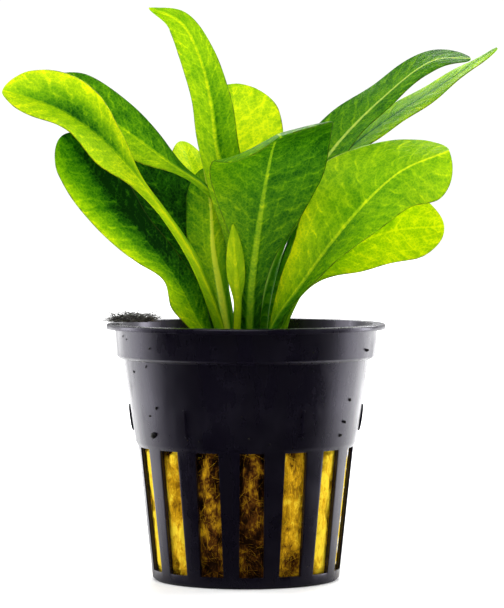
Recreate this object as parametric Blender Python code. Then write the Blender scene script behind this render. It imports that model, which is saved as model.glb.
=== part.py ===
"""A potted amazon sword: a rosette of spoon-shaped leaves in a black slotted aquarium pot.

The origin is the centre of the pot's underside, +Z is up and -Y is the front. Sizes are in metres.
"""

import math

import bmesh
import bpy
import numpy as np
from mathutils import Matrix, Vector

MM = 0.001
GAP = 0.3 * MM
MERGE = 0.001 * MM

# Pot: outer radii and heights, from the lip down
POT_HEIGHT = 50.4 * MM
LIP_RADIUS = 27.5 * MM
LIP_THICKNESS = 1.0 * MM
COLLAR_TOP_RADIUS = 25.8 * MM
COLLAR_FOOT_RADIUS = 25.5 * MM
COLLAR_FOOT = 43.7 * MM
BODY_TOP_RADIUS = 24.1 * MM
BODY_FOOT_RADIUS = 21.8 * MM
BODY_FOOT = 26.8 * MM
CAGE_TOP_RADIUS = 21.3 * MM
CAGE_FOOT_RADIUS = 18.4 * MM
SHOULDER = 0.5 * MM
WALL = 0.9 * MM
FLOOR = 1.3 * MM
POT_SEGMENTS = 60

# Openings between the ribs of the cage, and those in the floor
SLOT_COUNT = 15
SLOT_FIRST = math.radians(3.3)
SLOT_WIDTH = 4.7 * MM
SLOT_TOP = 26.3 * MM
SLOT_FOOT = 2.2 * MM
SLOT_DEPTH = 8.0 * MM
FLOOR_SLOT_COUNT = 10
FLOOR_SLOT_WIDTH = 2.6 * MM
FLOOR_HUB_RADIUS = 7.0 * MM
FLOOR_RIM_RADIUS = 15.6 * MM

# Small upright lugs that keep stacked pots apart
LUG_COUNT = 6
LUG_FIRST = math.radians(29.0)
LUG_SIZE = Vector((0.8, 1.1, 5.4)) * MM
LUG_CENTRE = 31.9 * MM
LUG_RADIUS = 22.8 * MM

# Mineral wool, crown and root tuft
WOOL_TOP = 43.2 * MM
WOOL_CLEARANCE = 0.9 * MM
WOOL_SEGMENTS = 36
CROWN_TOP = 44.1 * MM
CROWN_FOOT = 34.0 * MM
CROWN_TOP_RADIUS = 7.8 * MM
CROWN_FOOT_RADIUS = 4.6 * MM
CROWN_SEGMENTS = 24
TUFT_CENTRE = Vector((-22.4, -0.6, 51.6)) * MM
TUFT_HALF_SIZE = Vector((5.4, 3.6, 1.5)) * MM

# Leaves
LEAF_ROWS = 15
ROWS_TOWARDS_TIP = 1.3
LEAF_COLUMNS = (-1.0, -0.5, 0.0, 0.5, 1.0)
BLADE_THICKNESS = 0.4 * MM
MARGIN_THINNING = 0.4
STALK_RADIUS = 1.0 * MM
NARROWEST = 0.25 * MM

# Every leaf by its place in the rosette. colour: the blade's red, green and blue. route: midrib points in
# millimetres. heading: the compass angle that the blade's width is square to. tip: the share of the length
# that the round tip takes. The lists are read at even steps from foot to tip: half width in millimetres to
# the left and right of the midrib, roll about the midrib and upward fold of each half in degrees. A leaf
# with no right list is the same on both sides.
LEAVES = {
    "leaf_arching_left": dict(
        colour=(0.34, 0.6, 0.03),
        route=[(-3.9, -4.7, 45), (-5.7, -5.2, 51.5), (-10.6, -7.5, 63.5), (-18.4, -10, 75.2),
               (-26.6, -12, 85.3), (-35.3, -13.5, 91.8), (-46.8, -14.5, 95.7)],
        heading=190, tip=0.06,
        left=[1.7, 1.8, 1.6, 1.2, 1.1, 2.8, 6.8, 6.6, 6.2, 3.2],
        right=[1.7, 1.8, 1.6, 1.2, 1.0, 1.2, 3.8, 6.8, 7.0, 4.0],
        roll=[-30, -48, -58, -64, -54, -50], fold=[0, 10, 15, 14, 24, 18]),
    "leaf_shaded_left": dict(
        colour=(0.09, 0.28, 0.03),
        route=[(-1.6, 1.4, 45), (-1.6, 0.8, 58), (-3.2, -0.8, 71), (-8.5, -2.1, 77.2),
               (-13.5, -2.5, 80.8), (-23, -2.8, 87.8), (-32, -3.6, 94), (-39.5, -4, 98)],
        heading=180, tip=0.1,
        left=[1, 1, 1, 1, 1, 1.2, 4.6, 6.4, 6, 4],
        right=[1, 1, 1, 1, 1, 1.4, 3.8, 5.4, 5.6, 4],
        roll=[0, -10, -40, -60, -60, -50], fold=[0, 10, 15, 10, 5]),
    "leaf_low_left": dict(
        colour=(0.06, 0.22, 0.02),
        route=[(-6.2, -2.4, 45), (-9.3, -3.5, 50.5), (-12.3, -4.2, 57), (-16.2, -4.8, 63),
               (-24, -5, 72.5), (-31, -5, 81.5), (-36, -5, 87.2)],
        heading=185, tip=0.1,
        left=[1.4, 2.8, 4.4, 2.6, 4.6, 6.0, 7.0, 7.2, 6.4, 4.4],
        right=[1.4, 2.4, 3.8, 3.2, 3.2, 3.4, 4.4, 5.4, 6, 4.4],
        roll=[-45, -66, -70, -70, -65, -60], fold=[10, 10, 5, 0, 0]),
    "leaf_inner_left": dict(
        colour=(0.03, 0.12, 0.01),
        route=[(-5, 1.4, 45), (-7.2, 2.2, 54), (-11, 3, 65), (-16.5, 3.4, 75), (-21.5, 3.6, 84)],
        heading=180, tip=0.12,
        left=[1.1, 1.1, 2.4, 5.4, 6, 5, 3],
        right=[1.1, 1.1, 2.4, 6, 7, 6, 3],
        roll=[0, -40, -60, -60, -60], fold=[0, 10, 10, 5, 0]),
    "leaf_centre_left": dict(
        colour=(0.12, 0.36, 0.03),
        route=[(-3.0, -1.6, 45), (-4.6, -1.4, 55), (-6.4, -0.8, 65), (-7, 0.2, 74), (-8.2, 1.4, 81)],
        heading=-100, tip=0.15,
        left=[1, 1.1, 1.6, 3, 3.6, 3],
        right=[1, 1.2, 3.6, 5.4, 5.4, 4],
        roll=[0, 0, 0], fold=[0, 15, 15]),
    "leaf_tall": dict(
        colour=(0.22, 0.5, 0.06),
        route=[(-0.2, -1.7, 45), (-1.3, -3.3, 62), (-3.2, -5.5, 75.5), (-5.6, -6.5, 85),
               (-6.8, -7.8, 94), (-9, -10, 102.5), (-12.6, -12.4, 109), (-18.6, -14, 111.6)],
        heading=-100, tip=0.1,
        left=[1, 1, 1.2, 2.6, 4.0, 4.2, 4.1, 3.4, 2.4, 0.8],
        right=[1, 1, 1.2, 3, 4.5, 4.4, 4.2, 4.2, 3.4, 1.0],
        roll=[0, 0, 0, 0, 10, 30], fold=[0, 10, 20, 20, 15]),
    "leaf_newest": dict(
        colour=(0.4, 0.66, 0.06),
        route=[(-2.0, -5.6, 45), (-1.6, -7.1, 53), (-2, -8.1, 62), (-2.5, -8.3, 70)],
        heading=-90, tip=0.3,
        left=[0.7, 0.6, 0.8, 1.8, 1.7, 0.9],
        roll=[0, 0, 0], fold=[0, 15, 10]),
    "leaf_front": dict(
        colour=(0.1, 0.3, 0.03),
        route=[(0.6, -4.8, 45), (0.9, -6, 56), (2, -7.5, 66), (3.6, -10, 77), (5, -14.5, 84.5),
               (6, -22, 87), (6.6, -29, 86.6)],
        heading=-87, tip=0.12,
        left=[1.8, 2.2, 2.9, 4.8, 8.6, 11.4, 11.8, 11, 8],
        roll=[0, 0, 2, 18, 26], fold=[0, 10, 8, -4, -8]),
    "leaf_broad_right": dict(
        colour=(0.2, 0.48, 0.05),
        route=[(4.4, -3.2, 45), (6.2, -4, 50.5), (11, -5.5, 58), (17, -7, 66.5), (24, -8, 74.8),
               (30.5, -8.6, 80.4), (39.4, -10.4, 84.2)],
        heading=-5, tip=0.1,
        left=[1.4, 2.8, 4.4, 6, 9, 12.6, 12, 9, 5],
        right=[1.4, 1.6, 2.6, 4.4, 7, 8.4, 9.2, 9.4, 8.6],
        roll=[10, 40, 50, 55, 48, 46], fold=[5, 15, 22, 14, -4, -22]),
    "leaf_low_right": dict(
        colour=(0.5, 0.7, 0.02),
        route=[(6.2, 0.4, 45), (8, 0, 52), (13, -0.5, 60), (20, -0.5, 65), (28.5, -0.5, 68.5),
               (39, -1, 69.5)],
        heading=0, tip=0.14,
        left=[1.2, 1.4, 2.4, 4.6, 8, 8.6, 7.8, 6],
        right=[1.2, 1.4, 2, 3.4, 6, 6.8, 7.2, 6],
        roll=[10, 30, 60, 65, 60], fold=[0, 5, 5, 5, 0]),
    "leaf_upper_right": dict(
        colour=(0.06, 0.24, 0.02),
        route=[(2.6, 0.4, 45), (4.4, 1.3, 57), (9, 2.4, 71), (16.5, 3.6, 83.5), (27, 2.8, 94.6),
               (37, 1.2, 102), (44.2, 0, 102.4)],
        heading=0, tip=0.12,
        left=[1.1, 1.2, 1.4, 4, 7.6, 8.4, 7.6, 6, 4.5],
        right=[1.1, 1.1, 1.3, 3, 4.4, 4.2, 4, 3.8, 3.5],
        roll=[10, 32, 47, 38, 26, 22], fold=[0, 10, 5, 0, 0]),
    "leaf_long_right": dict(
        colour=(0.3, 0.55, 0.08),
        route=[(3.4, 2.9, 45), (6, 4.7, 57), (12, 6.3, 73), (20, 7.3, 84), (28.6, 7.7, 90.8),
               (38, 7.7, 96.8), (50, 7.7, 104.9)],
        heading=0, tip=0.1,
        left=[1, 1, 1.1, 1.6, 4, 5.4, 5.4, 4.4, 2.6],
        roll=[0, 16, 22, 18, 14], fold=[0, 5, 5, 0, 0]),
    "leaf_back_round": dict(
        colour=(0.42, 0.66, 0.02),
        route=[(0.8, 2.6, 45), (1, 4.5, 60), (-0.4, 7.5, 76), (-1.8, 11.5, 90), (-2.8, 15, 98)],
        heading=90, tip=0.14,
        left=[1, 1, 1.2, 3, 6.4, 8.2, 8.4, 6.4],
        right=[1, 1, 1.2, 3, 7, 8.8, 8.8, 6],
        roll=[0, 0, 0], fold=[0, 10, 10]),
    "leaf_back_small": dict(
        colour=(0.5, 0.72, 0.02),
        route=[(-2.6, 4, 45), (-4.5, 6, 58), (-8, 10, 72), (-11, 14.5, 81), (-13, 19, 86.5)],
        heading=120, tip=0.14,
        left=[1, 1, 1.2, 3.4, 5, 5.2, 4.4, 3],
        roll=[0, 0, 0], fold=[0, 10, 10]),
    "leaf_back_left": dict(
        colour=(0.14, 0.38, 0.03),
        route=[(-4.8, 4.6, 45), (-8, 9, 57), (-15, 17, 70), (-22, 25, 78), (-29, 33, 80)],
        heading=131, tip=0.12,
        left=[1.1, 1.1, 2.6, 6.5, 7.5, 6, 4],
        roll=[0, 0, 0], fold=[0, 15, 15]),
    "leaf_back": dict(
        colour=(0.12, 0.34, 0.03),
        route=[(0.4, 5.8, 45), (1, 10, 58), (2, 18, 72), (3, 27, 82), (4, 36, 85)],
        heading=88, tip=0.12,
        left=[1.1, 1.1, 2.6, 7, 8.5, 7, 5],
        roll=[0, 0, 0], fold=[0, 15, 10]),
    "leaf_back_right": dict(
        colour=(0.13, 0.36, 0.03),
        route=[(5, 5, 45), (9, 9, 56), (16, 15, 67), (24, 22, 74), (32, 29, 76)],
        heading=40, tip=0.12,
        left=[1.1, 1.1, 2.6, 6.6, 8, 6.6, 4],
        roll=[0, 0, 0], fold=[0, 15, 15]),
}


def clear_scene():
    for obj in list(bpy.data.objects):
        bpy.data.objects.remove(obj, do_unlink=True)


def plain_material(name, colour, roughness, metallic=0.0):
    material = bpy.data.materials.new(name)
    material.use_nodes = True
    shader = material.node_tree.nodes["Principled BSDF"]
    shader.inputs["Base Color"].default_value = (*colour, 1.0)
    shader.inputs["Roughness"].default_value = roughness
    shader.inputs["Metallic"].default_value = metallic
    return material


def finish_object(name, bm, material=None, sharp_angle=40.0):
    """Turns the finished bmesh into an object of its own."""
    bmesh.ops.recalc_face_normals(bm, faces=bm.faces)
    mesh = bpy.data.meshes.new(name)
    bm.to_mesh(mesh)
    bm.free()
    mesh.shade_smooth()
    mesh.set_sharp_from_angle(angle=math.radians(sharp_angle))
    obj = bpy.data.objects.new(name, mesh)
    bpy.context.collection.objects.link(obj)
    if material:
        mesh.materials.append(material)
    return obj


def as_tool(obj):
    """Marks a helper that only a Boolean reads."""
    obj.hide_render = True
    obj.display_type = "WIRE"
    return obj


def boolean(obj, operation, tool):
    modifier = obj.modifiers.new(tool.name, "BOOLEAN")
    modifier.operation = operation
    modifier.solver = "EXACT"
    modifier.object = tool


def turned(profile, segments):
    """A bmesh turned about Z from (radius, height) points, open or meeting the axis at both ends."""
    bm = bmesh.new()
    points = [bm.verts.new((radius, 0.0, height)) for radius, height in profile]
    pairs = list(zip(points, points[1:]))
    if profile[0][0] > 0.0:
        pairs.append((points[-1], points[0]))
    edges = [bm.edges.new(pair) for pair in pairs]
    bmesh.ops.spin(bm, geom=points + edges, cent=(0, 0, 0), axis=(0, 0, 1), dvec=(0, 0, 0),
                   angle=2 * math.pi, steps=segments, use_merge=False, use_duplicate=False)
    bmesh.ops.remove_doubles(bm, verts=bm.verts, dist=MERGE)
    return bm


def add_box(bm, angle, centre, size):
    """A box at centre = (radial distance, height), turned by angle from the front towards +X."""
    radius, height = centre
    place = Matrix.Rotation(angle, 4, "Z") @ Matrix.Translation((0.0, -radius, height))
    bmesh.ops.create_cube(bm, size=1.0, matrix=place @ Matrix.Diagonal((*size, 1.0)))


# ---- Pot ----

def cage_radius(height):
    """Outer radius of the ribs at a height."""
    return CAGE_FOOT_RADIUS + (CAGE_TOP_RADIUS - CAGE_FOOT_RADIUS) * height / BODY_FOOT


def pot_profile():
    outside = [
        (LIP_RADIUS - SHOULDER / 2, POT_HEIGHT),
        (LIP_RADIUS, POT_HEIGHT - SHOULDER / 2),
        (LIP_RADIUS, POT_HEIGHT - LIP_THICKNESS),
        (COLLAR_TOP_RADIUS, POT_HEIGHT - LIP_THICKNESS),
        (COLLAR_FOOT_RADIUS, COLLAR_FOOT + SHOULDER),
        (COLLAR_FOOT_RADIUS - SHOULDER, COLLAR_FOOT),
        (BODY_TOP_RADIUS, COLLAR_FOOT - SHOULDER / 2),
        (BODY_FOOT_RADIUS, BODY_FOOT + SHOULDER),
        (BODY_FOOT_RADIUS - SHOULDER / 2, BODY_FOOT),
        (CAGE_TOP_RADIUS, BODY_FOOT - SHOULDER / 2),
        (CAGE_FOOT_RADIUS, SHOULDER),
        (CAGE_FOOT_RADIUS - SHOULDER, 0.0),
        (0.0, 0.0),
    ]
    inside = [
        (0.0, FLOOR),
        (cage_radius(FLOOR) - WALL, FLOOR),
        (CAGE_TOP_RADIUS - WALL, BODY_FOOT),
        (BODY_FOOT_RADIUS - WALL, BODY_FOOT + 2 * SHOULDER),
        (BODY_TOP_RADIUS - WALL, COLLAR_FOOT + SHOULDER / 2),
        (COLLAR_FOOT_RADIUS - WALL, COLLAR_FOOT + 2 * SHOULDER),
        (COLLAR_TOP_RADIUS - WALL, POT_HEIGHT),
    ]
    around = outside + inside
    start = around.index((0.0, 0.0))
    # The turned outline starts and ends on the axis, going up the inside and down the outside.
    return around[start + 1:] + around[:start + 1]


def make_pot(material):
    pot = finish_object("net_pot", turned(pot_profile(), POT_SEGMENTS), material)

    cutters = bmesh.new()
    for n in range(SLOT_COUNT):
        angle = SLOT_FIRST + n * 2 * math.pi / SLOT_COUNT
        add_box(cutters, angle, (CAGE_TOP_RADIUS - SLOT_DEPTH / 2 + 1.5 * MM, (SLOT_TOP + SLOT_FOOT) / 2),
                (SLOT_WIDTH, SLOT_DEPTH, SLOT_TOP - SLOT_FOOT))
    for n in range(FLOOR_SLOT_COUNT):
        angle = (n + 0.5) * 2 * math.pi / FLOOR_SLOT_COUNT
        length = FLOOR_RIM_RADIUS - FLOOR_HUB_RADIUS
        # These reach down past the underside and up to just above the floor.
        add_box(cutters, angle, (FLOOR_HUB_RADIUS + length / 2, 0.0),
                (FLOOR_SLOT_WIDTH, length, 2 * FLOOR + SHOULDER))
    boolean(pot, "DIFFERENCE", as_tool(finish_object("slot_cutters", cutters)))

    lugs = bmesh.new()
    for n in range(LUG_COUNT):
        angle = LUG_FIRST + n * 2 * math.pi / LUG_COUNT
        add_box(lugs, angle, (LUG_RADIUS - LUG_SIZE.y / 2, LUG_CENTRE), LUG_SIZE)
    boolean(pot, "UNION", as_tool(finish_object("lugs", lugs)))
    return pot


# ---- Wool, crown and tuft ----

def crown_radius(height):
    share = (height - CROWN_FOOT) / (CROWN_TOP - CROWN_FOOT)
    return CROWN_FOOT_RADIUS + (CROWN_TOP_RADIUS - CROWN_FOOT_RADIUS) * share


def make_wool(material):
    """The plug follows the inside of the pot and has a pocket for the crown."""
    set_back = WALL + WOOL_CLEARANCE
    profile = [
        (0.0, CROWN_FOOT - GAP),
        (CROWN_FOOT_RADIUS + GAP, CROWN_FOOT - GAP),
        (crown_radius(WOOL_TOP) + GAP, WOOL_TOP),
        (BODY_TOP_RADIUS - set_back - 1.5 * MM, WOOL_TOP),
        (BODY_TOP_RADIUS - set_back, WOOL_TOP - 1.5 * MM),
        (BODY_FOOT_RADIUS - set_back, BODY_FOOT + 2 * SHOULDER),
        (CAGE_TOP_RADIUS - set_back, BODY_FOOT),
        (cage_radius(FLOOR) - set_back, FLOOR + GAP + 1.0 * MM),
        (cage_radius(FLOOR) - set_back - 1.0 * MM, FLOOR + GAP),
        (0.0, FLOOR + GAP),
    ]
    return finish_object("wool_plug", turned(profile, WOOL_SEGMENTS), material)


def make_crown(material):
    profile = [
        (0.0, CROWN_TOP),
        (CROWN_TOP_RADIUS - SHOULDER, CROWN_TOP),
        (CROWN_TOP_RADIUS, CROWN_TOP - SHOULDER),
        (CROWN_FOOT_RADIUS, CROWN_FOOT + SHOULDER),
        (CROWN_FOOT_RADIUS - SHOULDER, CROWN_FOOT),
        (0.0, CROWN_FOOT),
    ]
    return finish_object("crown", turned(profile, CROWN_SEGMENTS), material)


def make_tuft(material):
    """A flat-bottomed lump lying on the rim, as large as the fibres reach."""
    bm = bmesh.new()
    bmesh.ops.create_icosphere(bm, subdivisions=2, radius=1.0)
    for vert in bm.verts:
        vert.co = TUFT_CENTRE + vert.co * TUFT_HALF_SIZE
        vert.co.z = max(vert.co.z, POT_HEIGHT + GAP)
    return finish_object("root_tuft", bm, material)


# ---- Leaves ----

def read_evenly(values, share):
    """A smooth curve through evenly spaced values, read at a share of the way from 0 to 1."""
    last = len(values) - 1
    place = min(max(share, 0.0), 1.0) * last
    n = min(int(place), last - 1)
    f = place - n
    b, c = values[n], values[n + 1]
    a = values[n - 1] if n else 2 * b - c
    d = values[n + 2] if n + 2 <= last else 2 * c - b
    squared, cubed = 2 * a - 5 * b + 4 * c - d, 3 * b - 3 * c + d - a
    return 0.5 * (2 * b + (c - a) * f + squared * f**2 + cubed * f**3)


def smooth_route(points, steps_between=40):
    """Closely spaced points along a centripetal Catmull-Rom curve through the given ones."""
    knots = [Vector(p) * MM for p in points]
    knots = [2 * knots[0] - knots[1], *knots, 2 * knots[-1] - knots[-2]]
    route = []
    for p0, p1, p2, p3 in zip(knots, knots[1:], knots[2:], knots[3:]):
        t1 = math.sqrt((p1 - p0).length)
        t2 = t1 + math.sqrt((p2 - p1).length)
        t3 = t2 + math.sqrt((p3 - p2).length)
        for step in range(steps_between):
            t = t1 + (t2 - t1) * step / steps_between
            a1 = p0.lerp(p1, t / t1)
            a2 = p1.lerp(p2, (t - t1) / (t2 - t1))
            a3 = p2.lerp(p3, (t - t2) / (t3 - t2))
            b1 = a1.lerp(a2, t / t2)
            b2 = a2.lerp(a3, (t - t1) / (t3 - t1))
            route.append(b1.lerp(b2, (t - t1) / (t2 - t1)))
    return route + [knots[-2]]


def along(route, shares):
    """Points and directions of a route at shares of its length."""
    points = np.array(route)
    gaps = np.linalg.norm(np.diff(points, axis=0), axis=1)
    length = np.concatenate([[0.0], np.cumsum(gaps)])
    slopes = np.gradient(points, length, axis=0)
    where = np.array(shares) * length[-1]
    places = np.stack([np.interp(where, length, points[:, k]) for k in range(3)], axis=1)
    directions = np.stack([np.interp(where, length, slopes[:, k]) for k in range(3)], axis=1)
    return [Vector(p) for p in places], [Vector(d).normalized() for d in directions]


def leaf_section(leaf, share, place, direction):
    """The ring of points round the leaf at one share of its length: the upper face, then the under face."""
    heading = math.radians(leaf["heading"])
    across = Vector((-math.sin(heading), math.cos(heading), 0.0))
    across = (across - across.dot(direction) * direction).normalized()
    across = Matrix.Rotation(math.radians(read_evenly(leaf["roll"], share)), 3, direction) @ across
    upwards = direction.cross(across)

    into_tip = max(0.0, (share - 1 + leaf["tip"]) / leaf["tip"])
    rounding = math.sqrt(max(0.0, 1 - into_tip**2))
    widths = {side: max(read_evenly(leaf.get(side, leaf["left"]), share) * rounding * MM, NARROWEST)
              for side in ("left", "right")}
    fold = math.radians(read_evenly(leaf["fold"], share))
    stalk = STALK_RADIUS * max(1.1 - share, 0.15)
    spread = min(max((min(widths.values()) - STALK_RADIUS) / (2.5 * MM), 0.0), 1.0)

    upper, under = [], []
    for column in LEAF_COLUMNS:
        side = math.copysign(1.0, column)
        reach = widths["left" if column > 0 else "right"] * abs(column)
        middle = place + across * side * reach * math.cos(fold) + upwards * reach * math.sin(fold)
        outwards = upwards * math.cos(fold) - across * side * math.sin(fold) if column else upwards
        blade = BLADE_THICKNESS / 2 * (1 - MARGIN_THINNING * abs(column))
        rib = stalk * math.sqrt(max(0.0, 1 - (reach / (1.15 * stalk))**2))
        if abs(column) == 1.0:
            upper.append(middle)
            continue
        upper.append(middle + outwards * max(blade, rib * (1 - 0.8 * spread)))
        under.append(middle - outwards * max(blade, rib))
    return upper + under[::-1]


def loft(sections):
    """A closed bmesh through rings of points, with both ends filled by a fan from their centres.

    The upper and the under face are cut along the same diagonals, so that the thin sheets never cross.
    """
    bm = bmesh.new()
    loops = [[bm.verts.new(point) for point in section] for section in sections]
    count = len(loops[0])
    for lower, upper in zip(loops, loops[1:]):
        for n in range(count):
            a, b = lower[n], lower[(n + 1) % count]
            c, d = upper[(n + 1) % count], upper[n]
            pair = ((a, b, c), (a, c, d)) if n < count // 2 else ((a, b, d), (b, c, d))
            for triangle in pair:
                bm.faces.new(triangle)
    ends = [bm.faces.new(loops[0][::-1]), bm.faces.new(loops[-1])]
    bmesh.ops.poke(bm, faces=ends)
    return bm


def make_leaf(name, leaf, material):
    shares = [1 - (1 - row / (LEAF_ROWS - 1))**ROWS_TOWARDS_TIP for row in range(LEAF_ROWS)]
    places, directions = along(smooth_route(leaf["route"]), shares)
    sections = [leaf_section(leaf, *row) for row in zip(shares, places, directions)]
    return finish_object(name, loft(sections), material)


def main():
    clear_scene()
    make_pot(plain_material("pot_plastic", (0.02, 0.019, 0.028), 0.35))
    make_wool(plain_material("mineral_wool", (0.55, 0.33, 0.03), 0.95))
    make_crown(plain_material("crown_tissue", (0.32, 0.4, 0.12), 0.6))
    make_tuft(plain_material("root_fibre", (0.03, 0.022, 0.02), 0.9))
    for name, leaf in LEAVES.items():
        make_leaf(name, leaf, plain_material(name + "_tissue", leaf["colour"], 0.45))


main()
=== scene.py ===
"""Looks for a potted amazon sword: fine leaves, moulded pot, mineral wool, crown, root fibres and grit.

The file is laid out as a Blender add-on and is run as a script. Sizes are in metres.
"""

import math

import bmesh
import bpy
import numpy as np
from bpy.props import FloatProperty, FloatVectorProperty, IntProperty, PointerProperty
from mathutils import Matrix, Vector, noise


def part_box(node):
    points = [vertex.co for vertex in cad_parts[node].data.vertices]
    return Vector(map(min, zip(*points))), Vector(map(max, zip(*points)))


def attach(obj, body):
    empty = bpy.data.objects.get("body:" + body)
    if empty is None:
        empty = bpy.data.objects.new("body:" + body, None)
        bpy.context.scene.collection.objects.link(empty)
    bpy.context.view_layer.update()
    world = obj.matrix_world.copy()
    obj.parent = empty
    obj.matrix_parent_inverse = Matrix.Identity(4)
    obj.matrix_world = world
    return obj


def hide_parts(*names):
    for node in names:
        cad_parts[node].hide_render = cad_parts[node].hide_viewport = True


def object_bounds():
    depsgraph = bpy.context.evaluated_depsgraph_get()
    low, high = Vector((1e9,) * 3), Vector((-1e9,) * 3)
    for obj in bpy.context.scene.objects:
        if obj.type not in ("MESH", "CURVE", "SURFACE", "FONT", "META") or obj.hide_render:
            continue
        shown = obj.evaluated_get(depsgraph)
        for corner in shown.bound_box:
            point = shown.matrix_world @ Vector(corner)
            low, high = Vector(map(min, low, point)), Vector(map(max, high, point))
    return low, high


bl_info = {
    "name": "Potted amazon sword",
    "version": (1, 0, 0),
    "blender": (4, 5, 0),
    "location": "3D View > Sidebar > Plant",
    "description": "Builds the leaves, net pot, wool and stage of a potted amazon sword",
    "category": "Object",
}

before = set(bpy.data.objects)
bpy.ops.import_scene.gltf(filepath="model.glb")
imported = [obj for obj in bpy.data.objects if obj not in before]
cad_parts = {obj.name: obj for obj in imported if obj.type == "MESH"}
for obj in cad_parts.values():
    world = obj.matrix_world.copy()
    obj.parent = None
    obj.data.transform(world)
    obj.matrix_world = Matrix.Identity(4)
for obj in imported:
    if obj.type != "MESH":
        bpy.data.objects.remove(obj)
CAD_LOW, CAD_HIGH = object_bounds()
POT_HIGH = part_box("net_pot")[1]
WOOL_LOW, WOOL_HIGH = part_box("wool_plug")
CROWN_LOW, CROWN_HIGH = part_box("crown")
TUFT_LOW, TUFT_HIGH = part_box("root_tuft")

MM = 0.001
SEED = 7

# Points closer than this are one point
SEAM = 0.004 * MM
SLOT_FOOT = 2.2 * MM
LUG_CENTRE = 31.9 * MM
LUG_HALF_HEIGHT = 2.7 * MM
LUG_HALF_WIDTH = 0.34 * MM
LUG_PROUD = 0.42 * MM
LUG_END_PROUD = 0.05 * MM
LUG_ROOT = 0.4 * MM
FLOOR_SLOT_HALF_WIDTH = 1.3 * MM
FLOOR_RADIUS = 3.0
TUFT_FIBRE = 3.2 * MM
FLOOR_DROP = 0.05 * MM
# The crown's sheaths, one to a leaf
SHEATHS = 17
# How far side veins lean forward from midrib to margin, in vein spacings
VEIN_SLANT = 1.5
# The two waves in a leaf's margin, as the length of one radian
LONG_WAVE, SHORT_WAVE = 5.2 * MM, 2.3 * MM

# The studio's lamps: name, place, target, width and height, power
SIDE_TARGET = (0.0, 0.0, 0.03)
MIDDLE = (CAD_LOW + CAD_HIGH) / 2
LAMPS = [("back_glow", (0.1, 0.55, 0.5), MIDDLE, (0.5, 0.4), 5.0),
         ("left_strip", (-0.42, 0.16, 0.14), SIDE_TARGET, (0.16, 0.4), 1.0),
         ("right_strip", (0.42, 0.16, 0.14), SIDE_TARGET, (0.16, 0.4), 1.2),
         ("front_fill", (-0.1, -0.45, 0.62), MIDDLE, (0.5, 0.4), 2.8)]

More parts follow.
